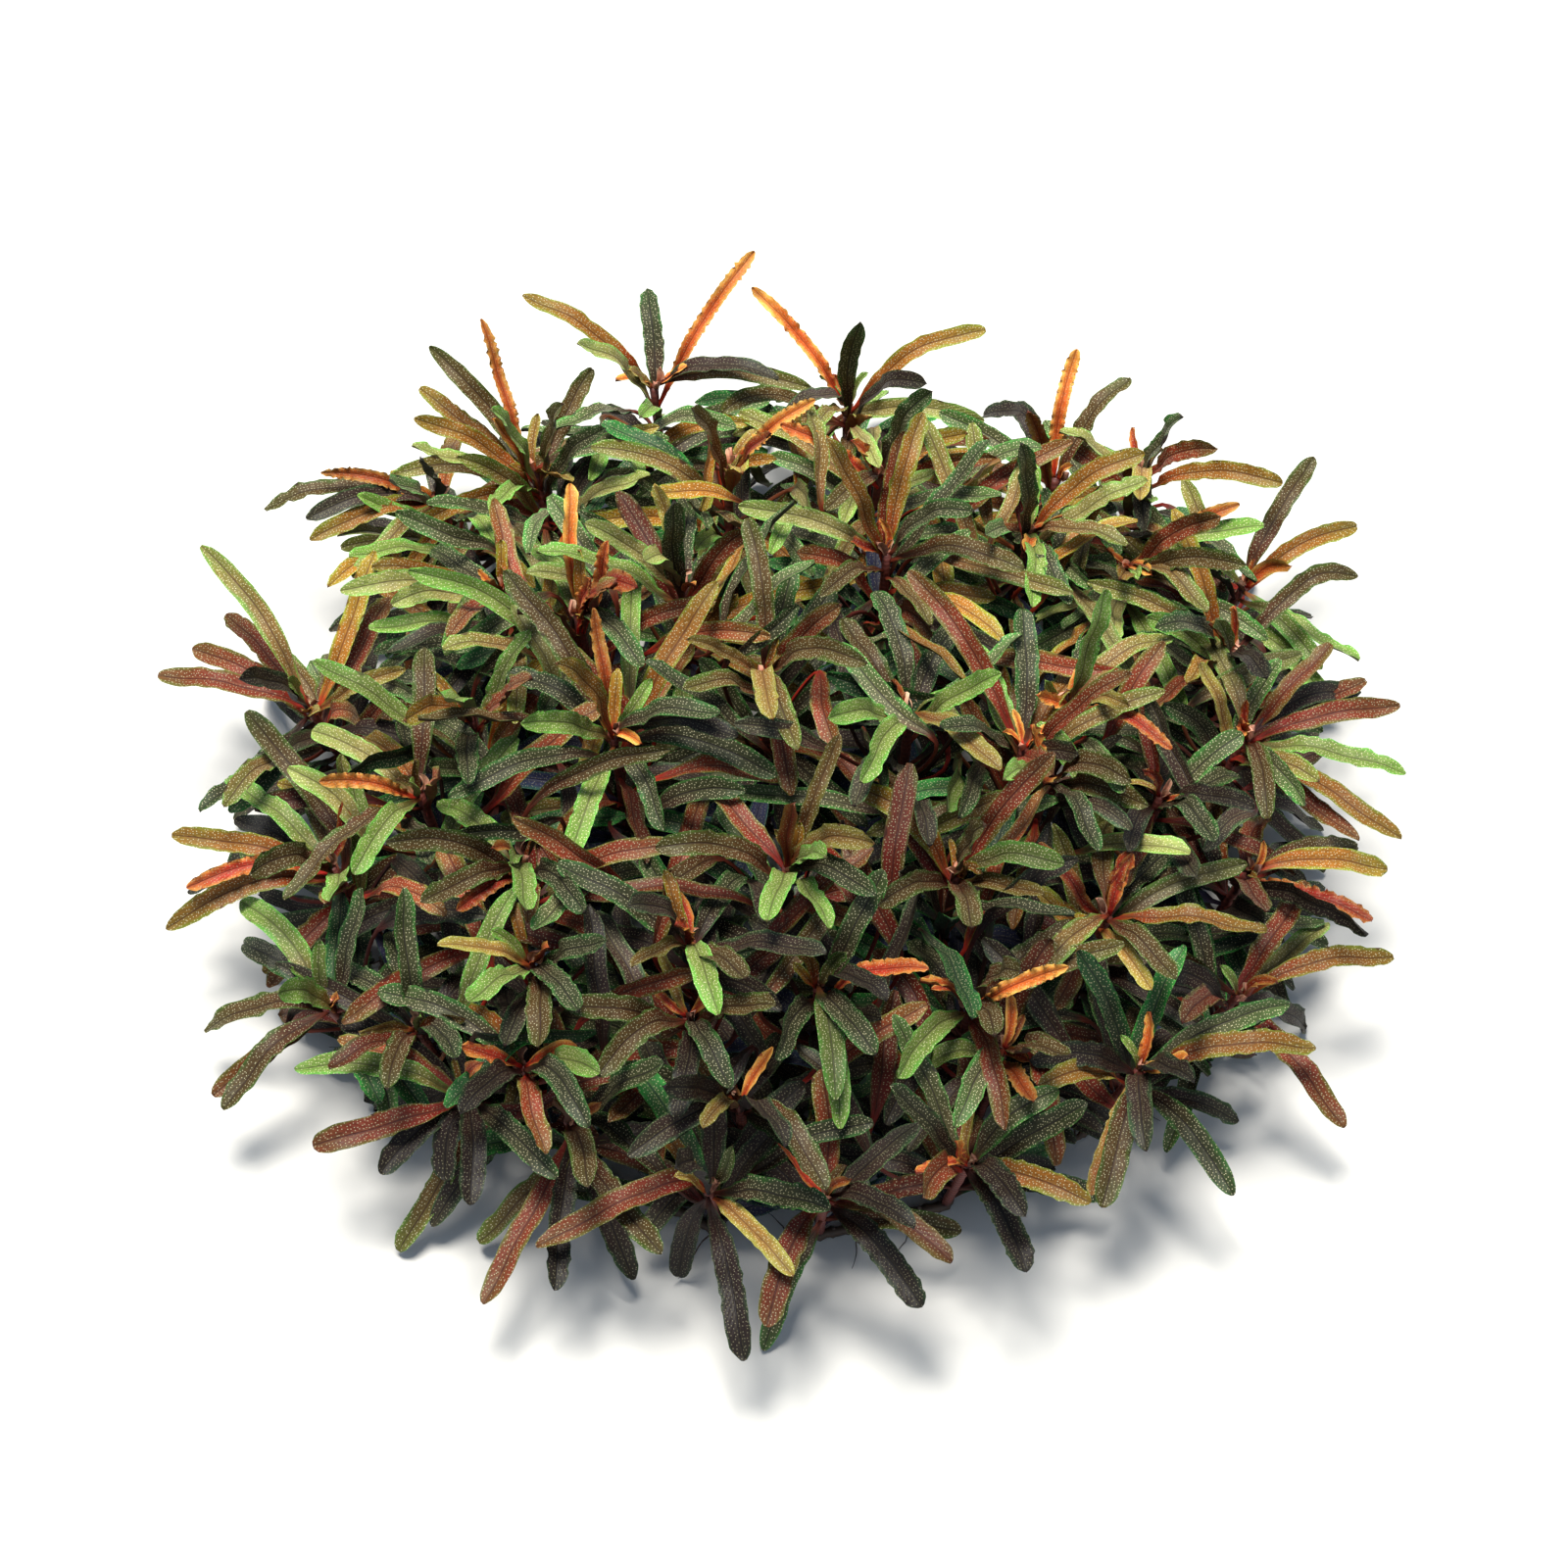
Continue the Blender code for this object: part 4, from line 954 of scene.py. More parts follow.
class LeafMesh:
    """The points, faces and markings of all the leaves of one shoot."""

    def __init__(self):
        self.points = []
        self.faces = []
        self.tones = []
        self.under = []
        self.share = []
        self.across = []
        self.place = []
        self.chance = []
        self.rims = set()

    def add_point(self, point, share, across, place, chance):
        self.points.append(point)
        self.share.append(share)
        self.across.append(across)
        self.place.append(place)
        self.chance.append(chance)

    def add_face(self, corners, tone, under=0.0):
        self.faces.append(corners)
        self.tones.append(tone)
        self.under.append(under)

    def add_leaf(
        self,
        tone,
        knots,
        facing,
        width,
        seed,
        along=ALONG,
        columns=ACROSS,
        stalk=0.0,
        dusk=0.0,
        channel=CHANNEL,
        named=False,
    ):
        """One closed strap along its knots: a channelled blade with waved edges, and a rib below."""
        chance = random.Random(seed)
        young = tone in ("flame", "ember") and chance.random() < WAVED_SHARE
        length = sum((b - a).length for a, b in zip(knots, knots[1:]))
        ruffle = (YOUNG_RUFFLE if young else RUFFLE_HEIGHT) * chance.uniform(0.4, 1.5)
        ruffle *= min(width / FULL_RUFFLE_WIDTH, 1)
        waves = [chance.uniform(0, math.tau) for _ in range(8)]
        wave_length = RUFFLE_LENGTH * chance.uniform(0.75, 1.5) * (YOUNG_WAVE_SHARE if young else 1)
        scallop = (YOUNG_SCALLOP if young else SCALLOP) * chance.uniform(0.4, 1.6)
        along = ALONG_YOUNG if young and along == ALONG else along
        widest = chance.uniform(0.34, 0.5)
        narrows = chance.uniform(0.68, 0.84)
        bluntness = chance.uniform(1.9, 3.2)
        twist = chance.uniform(-TWIST, TWIST)
        sway = chance.uniform(-SWAY, SWAY)
        number = chance.uniform(0, 400)
        # Painted light and shade: a leaf's brightness differs at random, rises to the back, where more light
        # falls, and drops in the deeper layers.
        look = LOOK_SPREAD * chance.random() + LOOK_LEAST
        look = look + (YOUNG_BACK_LIGHT if young else BACK_LIGHT) * knots[0].y - dusk
        if named and tone in NAMED_LIGHT:
            look = NAMED_LIGHT[tone] + NAMED_SPREAD * chance.uniform(-0.5, 0.5)
            look = look + NAMED_BACK_LIGHT * knots[0].y
        look = min(look, BRIGHTEST)
        tone_index = TONES.index(tone)
        sides = len(columns)
        ring_size = 2 * sides - 2
        first = len(self.points)
        shares = [(station / (along - 1)) ** 0.95 * LAST_STATION for station in range(along)]
        for share, (middle, side, upper) in zip(shares, leaf_frames(knots, shares, facing)):
            turn = twist * share
            share = max(share - stalk, 0) / (1 - stalk)
            turned = side * math.cos(turn) + upper * math.sin(turn)
            upper = upper * math.cos(turn) - side * math.sin(turn)
            side = turned
            middle = middle + side * (sway * math.sin(math.pi * share) * smooth_step(0, 0.3, share))
            rise = smooth_step(0.02, widest, share) ** 0.8
            over = max(share - narrows, 0) / (1 - narrows)
            fall = math.sqrt(max(1 - over ** bluntness, 0))
            half = (PETIOLE_RADIUS + (width / 2 - PETIOLE_RADIUS) * rise) * max(fall, NARROWEST)
            flat = smooth_step(0.03, 0.17, share)
            reach = share * length * (1 - stalk)
            swell = 0.65 + 0.35 * math.sin(math.tau * reach / SWELL_LENGTH + waves[4])
            strength = ruffle * swell * flat * smooth_step(1.03, 0.9, share)
            bend = BEND_HEIGHT * flat * math.sin(math.tau * reach / BEND_LENGTH + waves[5])
            top = []
            bottom = []
            for across in columns:
                edge = abs(across)
                margin = 0 if across < 0 else 1
                wave = math.sin(math.tau * reach / wave_length + waves[margin])
                wave += 0.35 * math.sin(math.tau * reach / (wave_length * 0.43) + waves[2 + margin])
                notch = math.sin(math.tau * reach / (wave_length * 0.55) + waves[6 + margin])
                notch *= 0.6 + 0.4 * math.sin(math.tau * reach / (wave_length * 1.37) + waves[margin])
                rounded = math.sqrt(1 - edge * edge) * PETIOLE_RADIUS
                lift = flat * (channel * half * edge ** 1.6 + strength * edge ** (4 if young else 1.8) * wave)
                lift += (1 - flat) * rounded + bend
                if across == 0:
                    lift -= RIB_GROOVE * flat
                thick = EDGE_THICKNESS + (RIB_THICKNESS - EDGE_THICKNESS) * (1 - edge) ** 2
                thick = flat * thick + (1 - flat) * 2 * rounded
                out = across * half * (1 + scallop * swell * flat * notch * edge)
                high = middle + side * out + upper * lift
                top.append((high, across))
                if edge < 1:
                    bottom.append((high - upper * max(thick, THINNEST), across))
            for place, across in top + bottom[::-1]:
                if abs(across) == 1:
                    self.rims.add(len(self.points))
                spot = (reach * 1000, across * half * 1000, number)
                self.add_point(place, share, across, spot, look)
        for station in range(along - 1):
            for corner in range(ring_size):
                after = (corner + 1) % ring_size
                low = first + station * ring_size
                high = low + ring_size
                self.add_face(
                    (low + corner, low + after, high + after, high + corner),
                    tone_index,
                    1.0 if corner >= sides - 1 else 0.0,
                )
        last = first + (along - 1) * ring_size
        tip = len(self.points)
        self.add_point(spline(knots, 1), 1.0, 0.0, (length * 1000, 0, number), look)
        for corner in range(ring_size):
            after = (corner + 1) % ring_size
            self.add_face((last + corner, last + after, tip), tone_index, 1.0 if corner >= sides - 1 else 0.0)
        self.add_face(tuple(first + corner for corner in reversed(range(ring_size))), tone_index)

    def add_tube(self, path, radii, tone, sides=8):
        """A closed round tube through the points of a path."""
        first = len(self.points)
        for index, place in enumerate(path):
            ahead = (path[min(index + 1, len(path) - 1)] - path[max(index - 1, 0)]).normalized()
            side = ahead.cross(Vector((0.3, 1, 0.1))).normalized()
            other = ahead.cross(side)
            for corner in range(sides):
                angle = math.tau * corner / sides
                offset = side * math.cos(angle) + other * math.sin(angle)
                spot = ((place - path[0]).length * 1000, angle, 0)
                self.add_point(place + offset * radii[index], index / len(path), 0, spot, 0.5)
        for level in range(len(path) - 1):
            for corner in range(sides):
                low = first + level * sides
                after = (corner + 1) % sides
                self.add_face((low + corner, low + after, low + sides + after, low + sides + corner), tone)
        self.add_face(tuple(first + corner for corner in reversed(range(sides))), tone)
        last = first + (len(path) - 1) * sides
        self.add_face(tuple(last + corner for corner in range(sides)), tone)

    def build(self, name, shift, materials):
        mesh = bpy.data.meshes.new(name)
        mesh.from_pydata([(point - shift)[:] for point in self.points], [], self.faces)
        for material in materials:
            mesh.materials.append(material)
        mesh.polygons.foreach_set("material_index", self.tones)
        mesh.polygons.foreach_set("use_smooth", [True] * len(self.faces))
        numbers = {"leaf_share": self.share, "leaf_across": self.across, "leaf_chance_and_painted_light": self.chance}
        for title, values in numbers.items():
            mesh.attributes.new(title, "FLOAT", "POINT").data.foreach_set("value", values)
        mesh.attributes.new("leaf_under", "FLOAT", "FACE").data.foreach_set("value", self.under)
        flat = [number for spot in self.place for number in spot]
        mesh.attributes.new("leaf_place", "FLOAT_VECTOR", "POINT").data.foreach_set("vector", flat)
        mesh.update(calc_edges=True)
        sharp = [edge.vertices[0] in self.rims and edge.vertices[1] in self.rims for edge in mesh.edges]
        mesh.attributes.new("sharp_edge", "BOOLEAN", "EDGE").data.foreach_set("value", sharp)
        return new_object(name, mesh)


def add_crown(leaves, shoot):
    """The small young leaves that stand in the crown, and the pale sheaths around them."""
    for number in range(SPROUTS + SHEATHS):
        seed = f"sprout {shoot.index} {number}"
        chance = random.Random(seed)
        heading = chance.uniform(0, math.tau)
        sheath = number >= SPROUTS
        pitch = chance.uniform(0.9, 1.35) if sheath else chance.uniform(0.5, 1.3)
        length = chance.uniform(*(SHEATH_LENGTH if sheath else SPROUT_LENGTH))
        flat = level_way(heading)
        base = shoot.crown + flat * 0.0006
        tip = base + raised_way(flat, pitch) * length
        knots = [base, base.lerp(tip, 0.5) + Vector((0, 0, length * 0.1)), tip]
        tone = "sheath" if sheath else chance.choice(SPROUT_TONES)
        facing = leaf_facing(knots, chance.uniform(-0.6, 0.6))
        width = length * (SHEATH_WIDTH if sheath else SPROUT_WIDTH)
        channel = SHEATH_CHANNEL if sheath else CHANNEL
        leaves.add_leaf(tone, knots, facing, width, seed, SPROUT_STATIONS, ACROSS_INNER, channel=channel)


def add_missing(shoot):
    """The named leaves that the solids had no room for."""
    for number in shoot.missing:
        tone, across, down = shoot.named_leaves[number][:3]
        line = sight_line(across, down)
        rough = nearest_on_line(line, shoot.crown) - shoot.crown
        tip = tip_point(shoot.crown, line, LEAF_LENGTH, preferred_pitch(shoot, rough, tone in YOUNG_TONES))
        knots = leaf_knots(shoot.crown, tip, (tip - shoot.crown).length * 0.16, None, None)
        shoot.extra.append((tone, knots, leaf_facing(knots, 0), LEAF_WIDTH, 0, 0.0))


def outside_heart(place):
    """How far out a place lies in the picture: over 1 is outside the outline of the mesh-only leaves."""
    eye, _ = sight_line(PICTURE_MIDDLE, PICTURE_MIDDLE)
    reach = place - eye
    scale = VIEW_DISTANCE / (reach.dot(FORWARD) * PIXEL_SIZE)
    across = abs(PICTURE_MIDDLE + reach.x * scale - HEART_MIDDLE[0]) / HEART_REACH[0]
    down = abs(PICTURE_MIDDLE - reach.dot(UPWARD) * scale - HEART_MIDDLE[1]) / HEART_REACH[1]
    return across ** HEART_POWER + down ** HEART_POWER


def share_out(place):
    return math.hypot(place.x, place.y) / CUSHION_RADIUS


def layer_knots(shoot, layer, number, chance):
    """The knots of a leaf of a fuller layer, and the share of it that is stalk."""
    count, heights, droop, lengths, _ = LAYERS[layer]
    heading = number * GOLDEN_ANGLE + shoot.index * 1.7 + layer + chance.uniform(-0.7, 0.7)
    if number >= count:
        heading = -math.pi / 2 + chance.uniform(-1.3, 1.3)
    flat = level_way(heading)
    base = shoot.foot.lerp(shoot.crown, chance.uniform(*heights)) + flat * STEM_RADIUS * 0.5
    length = LEAF_LENGTH * chance.uniform(*lengths)
    elbow = base
    if layer < 2 and chance.random() < STALKED_SHARE:
        base = shoot.foot.lerp(shoot.crown, chance.uniform(0.3, 0.6)) + flat * STEM_RADIUS * 0.5
        elbow = base + flat * chance.uniform(*STALK_REACH)
        elbow.z = crown_level(elbow.x, elbow.y) - chance.uniform(*STALK_DEPTH) - STALK_LAYER_STEP * layer
        elbow.z = max(elbow.z, base.z + 0.003)
        heading += chance.uniform(-2.4, 2.4)
        flat = level_way(heading)
    may_lie_over = layer == 0 and number < OVER_CROWN and chance.random() < OVER_CROWN_SHARE
    if may_lie_over and share_out(shoot.crown) < OVER_CROWN_REACH:
        over = shoot.crown + Vector((0, 0, chance.uniform(*OVER_CROWN_HEIGHT)))
        slope = Vector((0, 0, preferred_pitch(shoot, flat, False) * 0.5))
        side = Vector((flat.y, -flat.x, 0)) * chance.uniform(-OVER_CROWN_SIDE, OVER_CROWN_SIDE)
        before = over + side - (flat + slope) * chance.uniform(*OVER_CROWN_BEFORE)
        after = over + side + (flat + slope) * chance.uniform(*OVER_CROWN_AFTER)
        base = shoot.foot.lerp(shoot.crown, chance.uniform(0.3, 0.6)) - flat * STEM_RADIUS * 0.5
        before.z = max(before.z, base.z + 0.002)
        stalk = (before - base).length
        return [base, before, over + side, after], stalk / (stalk + (after - before).length)
    pitch = preferred_pitch(shoot, flat, False) - chance.uniform(*droop)
    if elbow != base:
        pitch = min(pitch, 0.6)
    tip = elbow + raised_way(flat, pitch) * length
    if tip.z < FLOOR_CLEARANCE:
        tip.z = FLOOR_CLEARANCE + 0.003 * chance.random()
    bow = Vector((0, 0, length * chance.uniform(0.06, 0.2)))
    if elbow == base:
        return [base, base.lerp(tip, 0.45) + bow, tip], 0.0
    stalk = (elbow - base).length
    return [base, elbow, elbow.lerp(tip, 0.5) + bow, tip], stalk / (stalk + length)


def add_layer_leaf(shoot, layer, number):
    """A leaf of a fuller layer, where it meets no leaf of another shoot."""
    tones = LAYERS[layer][4]
    for attempt in range(LAYER_ATTEMPTS):
        chance = random.Random(f"layer {layer} {shoot.index} {number} {attempt}")
        knots, stalk = layer_knots(shoot, layer, number, chance)
        tip = knots[-1]
        if max(outside_heart(knot) for knot in knots[1:]) > 1:
            continue
        facing = leaf_facing(knots, chance.uniform(-0.5, 0.5))
        width = LEAF_WIDTH * chance.uniform(0.82, 1.05)
        rings, end = leaf_rings(knots, facing, width)
        if min(corner.z for ring in rings for corner in ring) < FLOOR_CLEARANCE:
            continue
        points = [corner for ring in rings for corner in ring] + [end]
        blade = Solid(points, ring_faces(len(rings)), LAYER_CLEARANCE)
        if any(blade.meets(solid) for other in shoot.near for solid in other.solids):
            continue
        shoot.solids.append(blade)
        tone = chance.choice(tones)
        if tone == "shade" and share_out(tip) > SHADE_REACH:
            tone = "dusk"
        # Painted shade in part: leaves towards the front take darker tones.
        if chance.random() < DARKER_SHARE - tip.y / DARKER_DISTANCE:
            tone = FRONT_TONES.get(tone, tone)
        shoot.extra.append((tone, knots, facing, width, layer, stalk))
        return


def linear(colour):
    """A colour as read from a screen, 0 to 255, as Blender's linear values."""
    values = []
    for part in colour:
        share = part / 255
        values.append(share / 12.92 if share <= 0.04045 else ((share + 0.055) / 1.055) ** 2.4)
    return (*values, 1)


def put(tree, kind, inputs=(), **settings):
    """A new node with its settings, and its inputs set to values or linked to sockets, by place or name."""
    node = tree.nodes.new(kind)
    for key, value in settings.items():
        setattr(node, key, value)
    for key, value in dict(inputs).items():
        if isinstance(value, bpy.types.NodeSocket):
            tree.links.new(value, node.inputs[key])
        else:
            node.inputs[key].default_value = value
    return node


def calc(tree, operation, first, second=0.0, third=0.0):
    return put(tree, "ShaderNodeMath", {0: first, 1: second, 2: third}, operation=operation).outputs[0]


def ramp(tree, value, low, high):
    """0 below low, 1 above high and smooth between them."""
    inputs = {"Value": value, "From Min": low, "From Max": high}
    return put(tree, "ShaderNodeMapRange", inputs, interpolation_type="SMOOTHSTEP").outputs[0]


def blend_colours(tree, share, first, second, kind="MIX"):
    inputs = {0: share, 6: first, 7: second}
    return put(tree, "ShaderNodeMix", inputs, data_type="RGBA", blend_type=kind).outputs[2]


def scaled(tree, vector, scale):
    return put(tree, "ShaderNodeVectorMath", {0: vector, 1: scale}, operation="MULTIPLY").outputs[0]


def grey(tree, value):
    return put(tree, "ShaderNodeCombineColor", {0: value, 1: value, 2: value}).outputs[0]


def new_material(name):
    material = bpy.data.materials.new(name)
    material.use_nodes = True
    return material, material.node_tree, material.node_tree.nodes["Principled BSDF"]


def grouped_material(name, group, values, bump):
    """A material with its colour and bump from a group with these values, its shader and its group node."""
    material, tree, shader = new_material(name)
    surface = put(tree, "ShaderNodeGroup", values, node_tree=group)
    raised = put(tree, "ShaderNodeBump", {"Height": surface.outputs["Height"], **bump})
    tree.links.new(surface.outputs["Colour"], shader.inputs["Base Color"])
    tree.links.new(raised.outputs[0], shader.inputs["Normal"])
    return material, shader, surface


def new_object(name, data):
    thing = bpy.data.objects.new(name, data)
    bpy.context.scene.collection.objects.link(thing)
    return thing


def new_group(name, inputs, outputs):
    tree = bpy.data.node_groups.new(name, "ShaderNodeTree")
    kinds = {"colour": "NodeSocketColor", "value": "NodeSocketFloat", "vector": "NodeSocketVector"}
    for title, kind in inputs.items():
        tree.interface.new_socket(title, in_out="INPUT", socket_type=kinds[kind])
    for title, kind in outputs.items():
        tree.interface.new_socket(title, in_out="OUTPUT", socket_type=kinds[kind])
    return tree, tree.nodes.new("NodeGroupInput").outputs, tree.nodes.new("NodeGroupOutput").inputs


LEAF_PARTS = ("Petiole", "Base", "Middle", "Tip", "Margin", "Under", "Speckle")
BLACK = (0.0, 0.0, 0.0, 1)
# Veins: radians for each millimetre along the leaf, how far they slant, and how dark they are.
VEIN_PITCH = 3.0
VEIN_SLANT = 17.0
VEIN_STRENGTH = 0.13
# Speckles along and across, and the distances from their middles where they begin and are full.
SPECKLES_A_MILLIMETRE = (1.12, 1.22, 0)
SPECKLE_EDGE = (0.19, 0.09)
# The slope and the least value of the light painted into a leaf's colour, and of the light that its speckles
# keep.
LEAF_LIGHT = (1.50, 0.36)
SPECKLE_LIGHT = (0.45, 0.42)


def leaf_group():
    """The blade's colour from petiole to tip, its margins, rib, veins, speckles and underside, with each leaf's
    painted light and shade.
    """
    inputs = {title: "colour" for title in LEAF_PARTS}
    inputs["Speckle Amount"] = "value"
    inputs["Margin Width"] = "value"
    outputs = {"Colour": "colour", "Height": "value", "Roughness": "value"}
    tree, given, result = new_group("leaf_blade", inputs, outputs)
    names = ("leaf_share", "leaf_across", "leaf_chance_and_painted_light", "leaf_under")
    markings = [put(tree, "ShaderNodeAttribute", attribute_name=name).outputs["Fac"] for name in names]
    share, across, chance, under = markings
    place = put(tree, "ShaderNodeAttribute", attribute_name="leaf_place").outputs["Vector"]
    edge = calc(tree, "ABSOLUTE", across)
    cloud_place = scaled(tree, place, (0.12, 0.3, 1))
    cloud = put(tree, "ShaderNodeTexNoise", {"Vector": cloud_place, "Scale": 1.0, "Detail": 3.0})
    fine_place = scaled(tree, place, (0.8, 1.8, 1))
    fine = put(tree, "ShaderNodeTexNoise", {"Vector": fine_place, "Scale": 1.0, "Detail": 4.0})
    cloudy = calc(tree, "SUBTRACT", cloud.outputs[0], 0.5)
    # Each leaf turns from its base colour to its tip colour at its own places.
    shifted = calc(tree, "ADD", share, calc(tree, "MULTIPLY", cloudy, 0.6))
    shifted = calc(tree, "ADD", shifted, calc(tree, "MULTIPLY_ADD", chance, 0.3, -0.15))
    colour = blend_colours(tree, ramp(tree, shifted, 0.10, 0.45), given["Base"], given["Middle"])
    colour = blend_colours(tree, ramp(tree, shifted, 0.58, 1.02), colour, given["Tip"])
    # Dark veins that slant from the rib to the edge.
    parts = put(tree, "ShaderNodeSeparateXYZ", {0: place}).outputs
    along_veins = calc(tree, "MULTIPLY", parts[0], VEIN_PITCH)
    slant = calc(tree, "SUBTRACT", along_veins, calc(tree, "MULTIPLY", edge, VEIN_SLANT))
    vein = calc(tree, "MULTIPLY_ADD", calc(tree, "SINE", slant), 0.5, 0.5)
    colour = blend_colours(tree, calc(tree, "MULTIPLY", vein, VEIN_STRENGTH), colour, BLACK)
    # The margin's band, with an uneven inner side.
    band = calc(tree, "SUBTRACT", 1.0, given["Margin Width"])
    margin = ramp(tree, calc(tree, "ADD", edge, calc(tree, "MULTIPLY", cloudy, 1.1)), band, 1.02)
    colour = blend_colours(tree, calc(tree, "MULTIPLY", margin, 0.62), colour, given["Margin"])
    # The rib, with a paler stripe on both sides.
    rib = ramp(tree, edge, 0.10, 0.02)
    flank = calc(tree, "MULTIPLY", ramp(tree, edge, 0.30, 0.12), ramp(tree, edge, 0.04, 0.12))
    pale = blend_colours(tree, 1.0, colour, (0.03, 0.026, 0.01, 1), "ADD")
    colour = blend_colours(tree, flank, colour, pale)
    colour = blend_colours(tree, calc(tree, "MULTIPLY", rib, 0.7), colour, given["Under"])
    # The outermost rim, which is lit where it waves.
    rim = ramp(tree, edge, 0.88, 0.985)
    wavy = calc(tree, "MULTIPLY_ADD", parts[0], 5.0, calc(tree, "MULTIPLY", cloud.outputs[0], 9.0))
    crest = calc(tree, "MULTIPLY_ADD", calc(tree, "SINE", wavy), 0.32, 0.55)
    lit = blend_colours(tree, 1.0, given["Margin"], (0.06, 0.07, 0.02, 1), "ADD")
    colour = blend_colours(tree, calc(tree, "MULTIPLY", rim, crest), colour, lit)
    # Speckles on the upper face, away from the rib and the petiole.
    number = put(tree, "ShaderNodeCombineXYZ", {0: parts[2], 1: parts[2], 2: 0.0}).outputs[0]
    spotted = scaled(tree, place, SPECKLES_A_MILLIMETRE)
    spotted = put(tree, "ShaderNodeVectorMath", {0: spotted, 1: number}, operation="ADD").outputs[0]
    cells = put(
        tree,
        "ShaderNodeTexVoronoi",
        {"Vector": spotted, "Scale": 1.0, "Randomness": 0.75},
        voronoi_dimensions="2D",
    )
    spots = ramp(tree, cells.outputs["Distance"], *SPECKLE_EDGE)
    upper = calc(tree, "SUBTRACT", 1.0, under)
    away = calc(tree, "MULTIPLY", ramp(tree, edge, 0.05, 0.16), ramp(tree, share, 0.12, 0.3))
    spots = calc(tree, "MULTIPLY", calc(tree, "MULTIPLY", spots, upper), away)
    strength = calc(tree, "MULTIPLY", spots, given["Speckle Amount"])
    # The petiole and the underside.
    colour = blend_colours(tree, ramp(tree, share, 0.16, 0.06), colour, given["Petiole"])
    below = blend_colours(tree, calc(tree, "MULTIPLY", rib, 0.5), given["Under"], given["Petiole"])
    colour = blend_colours(tree, calc(tree, "MULTIPLY", under, 0.8), colour, below)
    # Painted light and shade: each leaf's brightness is multiplied into its colour. It differs at random, rises
    # to the back and falls in the deeper layers.
    bold = calc(tree, "POWER", calc(tree, "MAXIMUM", chance, 0.0), 1.4)
    light = calc(tree, "MULTIPLY_ADD", bold, *LEAF_LIGHT)
    # Painted shade of the crown, together with its own darker base, makes it darker near the petiole; it is
    # also uneven all over, and darker along the middle.
    shade_and_unevenness = (
        (ramp(tree, share, 0.05, 0.4), 0.32, 0.68),
        (fine.outputs[0], 1.1, 0.45),
        (ramp(tree, edge, 0.55, 0.15), -0.22, 1.06),
    )
    for value, slope, least in shade_and_unevenness:
        light = calc(tree, "MULTIPLY", light, calc(tree, "MULTIPLY_ADD", value, slope, least))
    colour = blend_colours(tree, 1.0, colour, grey(tree, light), "MULTIPLY")
    # The speckles stay pale on dark leaves too.
    softened = calc(tree, "MULTIPLY_ADD", light, *SPECKLE_LIGHT)
    pale = blend_colours(tree, 1.0, given["Speckle"], grey(tree, softened), "MULTIPLY")
    colour = blend_colours(tree, strength, colour, pale)
    tree.links.new(colour, result["Colour"])
    height = calc(tree, "MULTIPLY_ADD", vein, 0.25, calc(tree, "MULTIPLY", fine.outputs[0], 0.5))
    height = calc(tree, "SUBTRACT", height, calc(tree, "MULTIPLY", rib, 0.9))
    height = calc(tree, "ADD", height, calc(tree, "MULTIPLY", spots, 0.35))
    tree.links.new(height, result["Height"])
    rough = calc(tree, "MULTIPLY_ADD", fine.outputs[0], 0.25, 0.42)
    tree.links.new(calc(tree, "ADD", rough, calc(tree, "MULTIPLY", under, 0.1)), result["Roughness"])
    return tree


# Each tone's colours, 0 to 255: petiole, base, middle, tip, margin and underside, then its speckles' share.
LEAF_COLOURS = {
    "moss": (
        (130, 56, 36), (84, 62, 44), (76, 78, 48),
        (74, 98, 48), (60, 134, 54), (54, 44, 44),
        0.95,
    ),
    "olive": (
        (150, 62, 38), (124, 68, 40), (118, 90, 46),
        (108, 108, 46), (88, 138, 50), (80, 52, 42),
        0.95,
    ),
    "lime": (
        (150, 86, 46), (112, 98, 50), (106, 122, 54),
        (106, 140, 56), (88, 162, 60), (84, 80, 50),
        0.9,
    ),
    "sage": (
        (150, 80, 48), (130, 100, 58), (132, 122, 66),
        (132, 142, 70), (110, 166, 70), (92, 80, 52),
        0.95,
    ),
    "bronze": (
        (178, 56, 28), (166, 72, 26), (154, 98, 32),
        (142, 116, 38), (124, 146, 44), (98, 52, 32),
        0.9,
    ),
    "rust": (
        (168, 42, 28), (142, 40, 26), (130, 54, 30),
        (114, 74, 34), (94, 108, 40), (80, 36, 30),
        0.7,
    ),
    "dusk": (
        (104, 42, 34), (64, 36, 30), (58, 42, 35),
        (53, 51, 37), (46, 82, 44), (44, 34, 36),
        0.36,
    ),
    "ember": (
        (204, 42, 32), (172, 34, 26), (176, 48, 30),
        (174, 80, 36), (196, 138, 60), (124, 36, 28),
        0.4,
    ),
    "flame": (
        (214, 56, 32), (190, 56, 26), (198, 86, 32),
        (192, 116, 44), (222, 176, 84), (146, 54, 32),
        0.35,
    ),
    "gold": (
        (180, 86, 44), (140, 80, 38), (140, 102, 48),
        (142, 118, 52), (140, 142, 62), (110, 72, 44),
        0.85,
    ),
    "fern": (
        (90, 54, 40), (50, 60, 42), (48, 80, 44),
        (48, 104, 46), (44, 138, 52), (40, 52, 46),
        0.6,
    ),
    "shade": (
        (62, 48, 66), (54, 52, 76), (54, 56, 82),
        (50, 64, 80), (42, 96, 76), (48, 46, 72),
        0.3,
    ),
    "copper": (
        (196, 58, 36), (162, 54, 32), (138, 66, 36),
        (126, 86, 42), (130, 122, 54), (110, 44, 30),
        0.6,
    ),
    "sheath": (
        (206, 136, 112), (208, 142, 116), (212, 152, 122),
        (216, 172, 140), (222, 186, 154), (196, 128, 106),
        0.0,
    ),
}
SPECKLE = (240, 230, 182)
# How wide the margin's band is, as a share of half the width.
MARGIN = 0.36
YOUNG_MARGIN = 0.75
LEAF_BUMP = {"Strength": 0.5, "Distance": 0.0003}
LEAF_SPECULAR = 0.26
BARK_BUMP = {"Strength": 0.6, "Distance": 0.0004}
BARK_ROUGHNESS = 0.55


